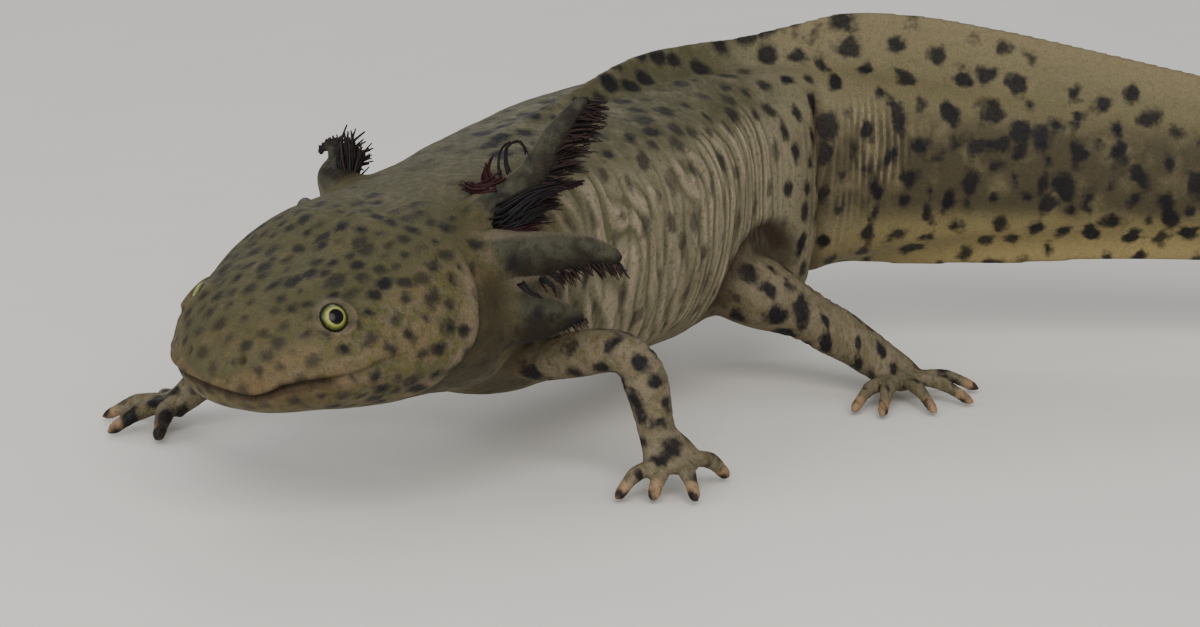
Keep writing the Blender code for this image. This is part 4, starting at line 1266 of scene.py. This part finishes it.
def skin_material():
    """Mottled tan and olive with soft-edged dark spots; pale on the folds, partly in the skin's own
    colour and partly as painted highlight, with painted shade between the folds, in creases, under the
    gills and on the gill stalks' hanging sides.
    """
    n = Nodes("skin")
    place = n.attribute("place", "Vector")

    def patches(scale, *limits, detail=4.0, rough=0.7):
        """Soft noise: limits are its low and high values and what these become."""
        return n.span(n.noise(place, scale, detail, rough), *limits)

    base = n.mix(patches(0.26, 0.4, 0.6, rough=0.68), SKIN_TAN, SKIN_OLIVE)
    base = n.mix(n.times(patches(0.9, 0.4, 0.62), 0.5), base, SKIN_MAUVE)
    base = n.layers(base, (
        ("snout", patches(0.55, 0.3, 0.65, 0.15, 0.75), SNOUT_TINT),
        ("flank", 0.75, FLANK_TAN),
        ("tail", 0.75, TAIL_TAN),
        ("band", patches(0.25, 0.25, 0.55, 0.0, 0.9, rough=0.55), BAND_BROWN),
        ("margin", 0.7, MARGIN_PALE),
        ("under", 0.85, UNDER_PALE),
        ("belly", 0.6, BELLY_PALE),
        ("limb", patches(0.5, 0.35, 0.62, 0.25, 0.95), LIMB_TAN),
        ("toe", 0.65, TOE_PINK),
    ))
    fold = n.attribute("fold")
    # Paler on the fold ridges, partly the skin's own colour and partly painted highlight.
    pale = n.times(n.span(fold, -0.1, 0.75, 0.0, 0.85), patches(0.5, 0.25, 0.6, 0.35, 1.0))
    base = n.mix(pale, base, RIDGE_PALE_AND_HIGHLIGHT)
    # Painted shade in the furrows and costal grooves.
    base = n.mix(n.span(fold, -0.1, -0.75, 0.0, 0.7), base, FURROW_SHADE)
    tail = n.attribute("tail")
    freckles = n.times(patches(1.2, 0.52, 0.66, 0.0, 0.5), n.span(tail, 0.0, 1.0, 1.0, 0.4))
    base = n.mix(freckles, base, FRECKLE)
    fringe = n.attribute("fringe")
    blotch = n.math("ADD", fringe, patches(0.6, 0.3, 0.7, -0.5, 0.5, detail=3.0, rough=0.55))
    # Darker towards the filaments, partly their bases and partly painted shade; the upper edge gets a
    # painted highlight.
    stalk = n.mix(n.span(blotch, -0.9, 0.35), GILL_EDGE, GILL_DARK_AND_SHADE)
    stalk = n.mix(n.span(fringe, -0.8, -1.0, 0.0, 0.45), stalk, PALE_SKIN_AND_HIGHLIGHT)
    wild = n.span(n.math("MAXIMUM", tail, n.attribute("limb")), 0.0, 1.0, 2.2, 3.6)
    ragged = n.math("ADD", n.wander(place, 0.42, 2.0, 0.55, wild), n.wander(place, 1.8, 2.0, 0.6, 0.5))
    inside = n.span(n.math("ADD", n.attribute("spot"), ragged), 0.6, -0.6)
    inside = n.times(inside, patches(3.2, 0.25, 0.6, 0.88, 1.0, detail=3.0))
    # Spots are fainter in the painted shade under the gills and by the thigh.
    inside = n.times(inside, n.span(n.attribute("nape"), 0.2, 1.0, 1.0, 0.35))
    base = n.layers(base, (
        ("back", patches(0.3, 0.2, 0.6, 0.35, 0.9, detail=3.0, rough=0.55), BACK_OLIVE),
        ("edge", 0.45, PALE_SKIN_AND_HIGHLIGHT),
        # Painted shade under the gills and by the thigh.
        ("nape", 0.8, NAPE_SHADE),
        ("gill", 0.92, stalk),
        ("dark", inside, SPOT_DARK),
        # Painted shade in the creases.
        ("crease", 0.85, CREASE_SHADE),
        ("rim", 0.35, PALE_SKIN_AND_HIGHLIGHT),
    ))
    speckle = patches(4.5, 0.35, 0.7, 0.85, 1.1, detail=2.0)
    cells = n.add("TexVoronoi", {"Vector": place, "Scale": 3.4}, "Distance")
    pores = n.math("ADD", cells, n.times(n.noise(place, 2.4, 4.0), 1.4))
    return n.shade({
        "Base Color": n.mix(1.0, base, speckle, "MULTIPLY"),
        "Roughness": patches(1.2, 0.3, 0.7, 0.55, 0.72, detail=3.0, rough=0.55),
        "Normal": n.bump(pores, 0.00007, 0.7),
        "Subsurface Weight": 0.06,
        "Subsurface Radius": (0.0015, 0.0008, 0.0005),
        "Subsurface Scale": 1.0,
        "Specular IOR Level": 0.13,
    })


SKIN_NODES = (
    "head", "neck", "torso", "tail_base", "tail_middle", "tail_tip", "dorsal_fin_trunk",
    *[side + "_fin_tail_" + part for side in ("dorsal", "ventral") for part in ("base", "middle", "tip")],
    *[part + side for limb in (("upper_arm", "forearm", "forefoot"), ("thigh", "shank", "hindfoot"))
      for side in ("_left", "_right") for part in limb],
)


def settle(piece, nodes, material):
    """Gives a piece its material, body, finish and the solids that it stands for."""
    piece.data.materials.clear()
    piece.data.materials.append(material)
    piece.data.shade_smooth()
    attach(piece, "root")
    if nodes:
        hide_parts(*nodes)


# Where the skin's mesh is finer: up to the head's end, and on the left flank by the hip.
FINE_HEAD_END = 33.5
FINE_FLANK = (84, 126)


def make_skin():
    skin = grown_skin()
    mesh = skin.data
    blend_junctions(skin)
    places = Places(points_of(mesh))
    start, end = FINE_FLANK
    folded = (places.s > start) & (places.s < end) & (places.turn > 0.5) & (places.left > 0)
    refine(skin, (places.s < FINE_HEAD_END) | (places.foot > 0.1) | folded)
    set_points(mesh, smoothed(mesh, points_of(mesh), RELIEF_ROUNDS, keep_size=True))
    places, marks = model_relief(skin)
    write_marks(skin, places, marks)
    set_points(mesh, in_frame(points_of(mesh)))
    settle(skin, SKIN_NODES, skin_material())


# Eyes

PUPIL_RADIUS = 0.88
IRIS_RADIUS = 1.74
CORNEA_RISE = 0.14
LID_GAP = 0.04
PUPIL = colour(0.003, 0.003, 0.004)
IRIS_YELLOW = colour(0.3, 0.3, 0.085)
IRIS_GREEN = colour(0.11, 0.13, 0.035)
IRIS_RIM = colour(0.01, 0.014, 0.008)


def eye_material():
    """A black pupil in a yellow-green iris with a dark outer ring, under a wet cornea."""
    n = Nodes("eye")
    gaze = n.attribute("gaze", "Vector")
    flat = n.add("VectorMath", {0: gaze, 1: (1, 1, 0)}, operation="MULTIPLY")
    radius = n.add("VectorMath", {0: flat}, "Value", operation="LENGTH")
    radius = n.math("ADD", radius, n.wander(gaze, 2.6, 4.0, 0.7, 0.22))
    ring = n.mix(n.span(radius, PUPIL_RADIUS + 0.12, PUPIL_RADIUS + 0.42), IRIS_YELLOW, IRIS_GREEN)
    ring = n.mix(n.span(radius, IRIS_RADIUS - 0.5, IRIS_RADIUS - 0.2), ring, IRIS_RIM)
    fleck = n.span(n.noise(gaze, 7.0, 3.0, 0.7), 0.52, 0.68, 0.0, 0.35)
    ring = n.mix(fleck, ring, IRIS_GREEN)
    return n.shade({
        "Base Color": n.mix(n.span(radius, PUPIL_RADIUS - 0.06, PUPIL_RADIUS + 0.1), PUPIL, ring),
        "Roughness": 0.25,
        "Specular IOR Level": 0.15,
        "Coat Weight": 0.07,
        "Coat Roughness": 0.15,
    })


def make_eyes():
    """Two eyeballs with their corneas' bulges, turned the way that they look."""
    material = eye_material()
    for name, side in (("eye_left", 1), ("eye_right", -1)):
        centre, looks, across, over = eye_frame(side)
        data = bpy.data.meshes.new(name)
        edit(data, lambda mesh: bmesh.ops.create_uvsphere(
            mesh, u_segments=64, v_segments=48, radius=1.0))
        local = points_of(data)
        radial = np.hypot(local[:, 0], local[:, 1]) * EYE_RADIUS
        swell = CORNEA_RISE * fade(0.6, IRIS_RADIUS, radial) * (local[:, 2] > 0)
        local *= (EYE_RADIUS - LID_GAP + swell)[:, None]
        set_points(data, in_frame(centre + local @ np.stack([across, over, looks])))
        store(data, "gaze", local)
        settle(linked(name + "_ball", data), [name], material)


# Gill filaments

FILAMENT_SIDES = 5
FILAMENT_STEPS = 9
FILAMENT_SPREAD = math.radians(48)
FILAMENT_LEVEL = (0.31, 0.17, 0.93)
FILAMENT_SEED = 12
UNEVEN = (0.75, 1.25)
STOUTER = {"gill_right_upper": 1.5}
DARKER = {"gill_right_upper": 0.5, "gill_left_upper": 0.85}


def filament_mesh(name, lines, radii, tones):
    """One mesh of many thin tubes."""
    tubes = [closed_tube(tube_rings(line, radius, radius, FILAMENT_SIDES, FILAMENT_LEVEL))
             for line, radius in zip(lines, radii)]
    points, faces = joined(tubes)
    made = new_mesh_object(name, in_frame(points), faces)
    share = np.tile(np.linspace(0, 1, FILAMENT_STEPS), len(lines))
    store(made.data, "along", np.repeat(share, FILAMENT_SIDES))
    store(made.data, "tone", np.repeat(tones, FILAMENT_STEPS * FILAMENT_SIDES))
    return made


def turned(vector, axis, angle):
    """The vector turned about an axis."""
    kept = axis * np.dot(axis, vector)
    return (kept + (vector - kept) * math.cos(angle)
            + np.cross(axis, vector) * math.sin(angle))


def filament_lines(name, chance):
    """Rows of fine filaments that spring from the hanging edge of a gill's stalk."""
    gill = GILLS[name]
    path, at, widths = gill_path(name, 60)
    ahead, down, _ = gill_frames(name, path)
    first, spacing, rows = gill["fringe"]
    length_at, sweep_at = through(gill["lengths"]), through(gill["sweeps"])
    step = np.linspace(0, 1, FILAMENT_STEPS)
    start = GILL_ROOT_DEPTH + first * (at[-1] - GILL_ROOT_DEPTH)
    lines = []
    for row in np.linspace(-1, 1, rows):
        place = start + chance.uniform(0, spacing)
        while place < at[-1]:
            share = (place - start) / (at[-1] - start)
            centre, along, below = [looked_up(place, at, table) for table in (path, ahead, down)]
            out = turned(below, along, row * FILAMENT_SPREAD * chance.uniform(*UNEVEN))
            base = centre + np.interp(place, at, widths) * (0.6 * below + 0.25 * (out - below))
            lean = sweep_at(share) + 0.3 * math.sin(3.4 * place + row) + chance.uniform(-0.3, 0.3)
            reach = length_at(share) * chance.uniform(0.5, 1.2)
            bend = np.outer(step, unit(out + lean * along))
            bend += np.outer(step**2, 0.12 * along - (0.0, 0.0, 0.1))
            bend += np.outer(np.sin(step * 3.4) * chance.uniform(-0.16, 0.16), np.cross(out, along))
            lines.append(base + reach * bend)
            place += spacing * chance.uniform(*UNEVEN)
    return lines


def tuft_lines(name, chance):
    """Filaments that run together in the tufts beside a gill."""
    lines = []
    step = np.linspace(0, 1, FILAMENT_STEPS)
    for corners, count, first_spread, last_spread, _ in TUFTS.get(name, []):
        path, at, _ = smooth_path(body_point(*GILLS[name]["root"]) + np.array(corners), 40)
        for _ in range(count):
            first = np.array([chance.gauss(0, first_spread) for _ in range(3)])
            last = np.array([chance.gauss(0, last_spread) for _ in range(3)])
            line = looked_up(step * at[-1] * chance.uniform(0.7, 1.0), at, path)
            lines.append(line + np.outer(1 - step, first) + np.outer(step, last))
    return lines


def filament_material():
    """Near black to dark blood red, with a few pale filaments among them, pale partly in their own colour
    and partly as painted glints.
    """
    n = Nodes("gill_filaments")
    tone = n.attribute("tone")
    place = n.add("TexCoord", {}, "Object")
    base = n.mix(n.span(tone, 0.2, 0.75), colour(0.007, 0.006, 0.007), colour(0.028, 0.016, 0.013))
    # The palest filaments: partly their own colour and partly painted glints.
    base = n.mix(n.span(tone, 0.92, 0.97, 0.0, 0.7), base, colour(0.1, 0.08, 0.06))
    red = n.times(n.span(n.attribute("along"), 0.5, 1.0, 0.0, 0.5), n.noise(place, 500.0))
    base = n.mix(red, base, colour(0.035, 0.012, 0.01))
    base = n.mix(n.span(tone, 1.2, 1.8), base, colour(0.022, 0.005, 0.006))
    rough = n.span(n.noise(place, 1500.0, 2.0), 0.3, 0.7, 0.42, 0.6)
    return n.shade({"Base Color": base, "Roughness": rough, "Specular IOR Level": 0.15})


def make_filaments():
    material = filament_material()
    chance = random.Random(FILAMENT_SEED)
    step = np.linspace(0, 1, FILAMENT_STEPS)
    for name in GILLS:
        lines = filament_lines(name, chance)
        tones = [chance.random() * DARKER.get(name, 1.0) for _ in lines]
        lines += tuft_lines(name, chance)
        for _, count, _, _, tone in TUFTS.get(name, []):
            tones += [tone] * count
        stout = STOUTER.get(name, 1.0)
        radii = [stout * chance.uniform(0.12, 0.19) * (1 - 0.6 * step**1.5) for _ in lines]
        made = filament_mesh(name + "_filaments", lines, radii, tones)
        settle(made, [name], material)


# Stage, light and camera

def stage_material():
    n = Nodes("floor")
    tone = n.noise(n.add("TexCoord", {}, "Object"), 40.0)
    floor = n.mix(tone, colour(0.74, 0.72, 0.67), colour(0.78, 0.76, 0.72))
    return n.shade({"Base Color": floor, "Roughness": 0.85})


def make_stage():
    size = 6.0
    corners = [(-size, -size, 0), (size, -size, 0), (size, size, 0), (-size, size, 0)]
    floor = new_mesh_object("floor", corners, [[0, 1, 2, 3]])
    floor.data.materials.append(stage_material())


def make_camera():
    data = bpy.data.cameras.new("camera")
    data.sensor_width = CAMERA_SENSOR
    data.lens = CAMERA_LENS
    data.clip_start = 0.01
    camera = linked("camera", data)
    flat = math.cos(CAMERA_ELEVATION)
    backward = np.array((math.sin(CAMERA_AZIMUTH) * flat, -math.cos(CAMERA_AZIMUTH) * flat,
                         math.sin(CAMERA_ELEVATION)))
    camera.location = in_frame(np.array(CAMERA_TARGET) + backward * CAMERA_DISTANCE)
    camera.rotation_euler = (math.pi / 2 - CAMERA_ELEVATION, 0, CAMERA_AZIMUTH)
    bpy.context.scene.camera = camera


LIT_POINT = (0, 0, 0.02)


def add_area(name, location, size, watts, tint):
    """A soft round lamp that shines on the animal."""
    data = bpy.data.lights.new(name, "AREA")
    data.shape = "DISK"
    data.size = size
    data.energy = watts
    data.color = tint
    lamp = linked(name, data)
    lamp.location = location
    x, y, z = np.subtract(location, LIT_POINT)
    lamp.rotation_euler = (math.atan2(math.hypot(x, y), z), 0, math.atan2(y, x) + math.pi / 2)


def make_light():
    add_area("key", (-0.6, -0.55, 0.5), 0.8, 9.0, (1.0, 0.97, 0.92))
    add_area("fill", (-0.85, 0.25, 0.3), 0.8, 3.5, (0.95, 0.97, 1.0))
    add_area("rim", (0.5, 0.6, 0.6), 0.5, 1.5, (1.0, 0.98, 0.95))
    world = bpy.data.worlds.new("studio")
    world.use_nodes = True
    background = world.node_tree.nodes["Background"]
    background.inputs["Color"].default_value = (0.9, 0.92, 0.95, 1.0)
    background.inputs["Strength"].default_value = 0.5
    bpy.context.scene.world = world


make_camera()
make_light()
make_stage()
make_skin()
make_eyes()
make_filaments()
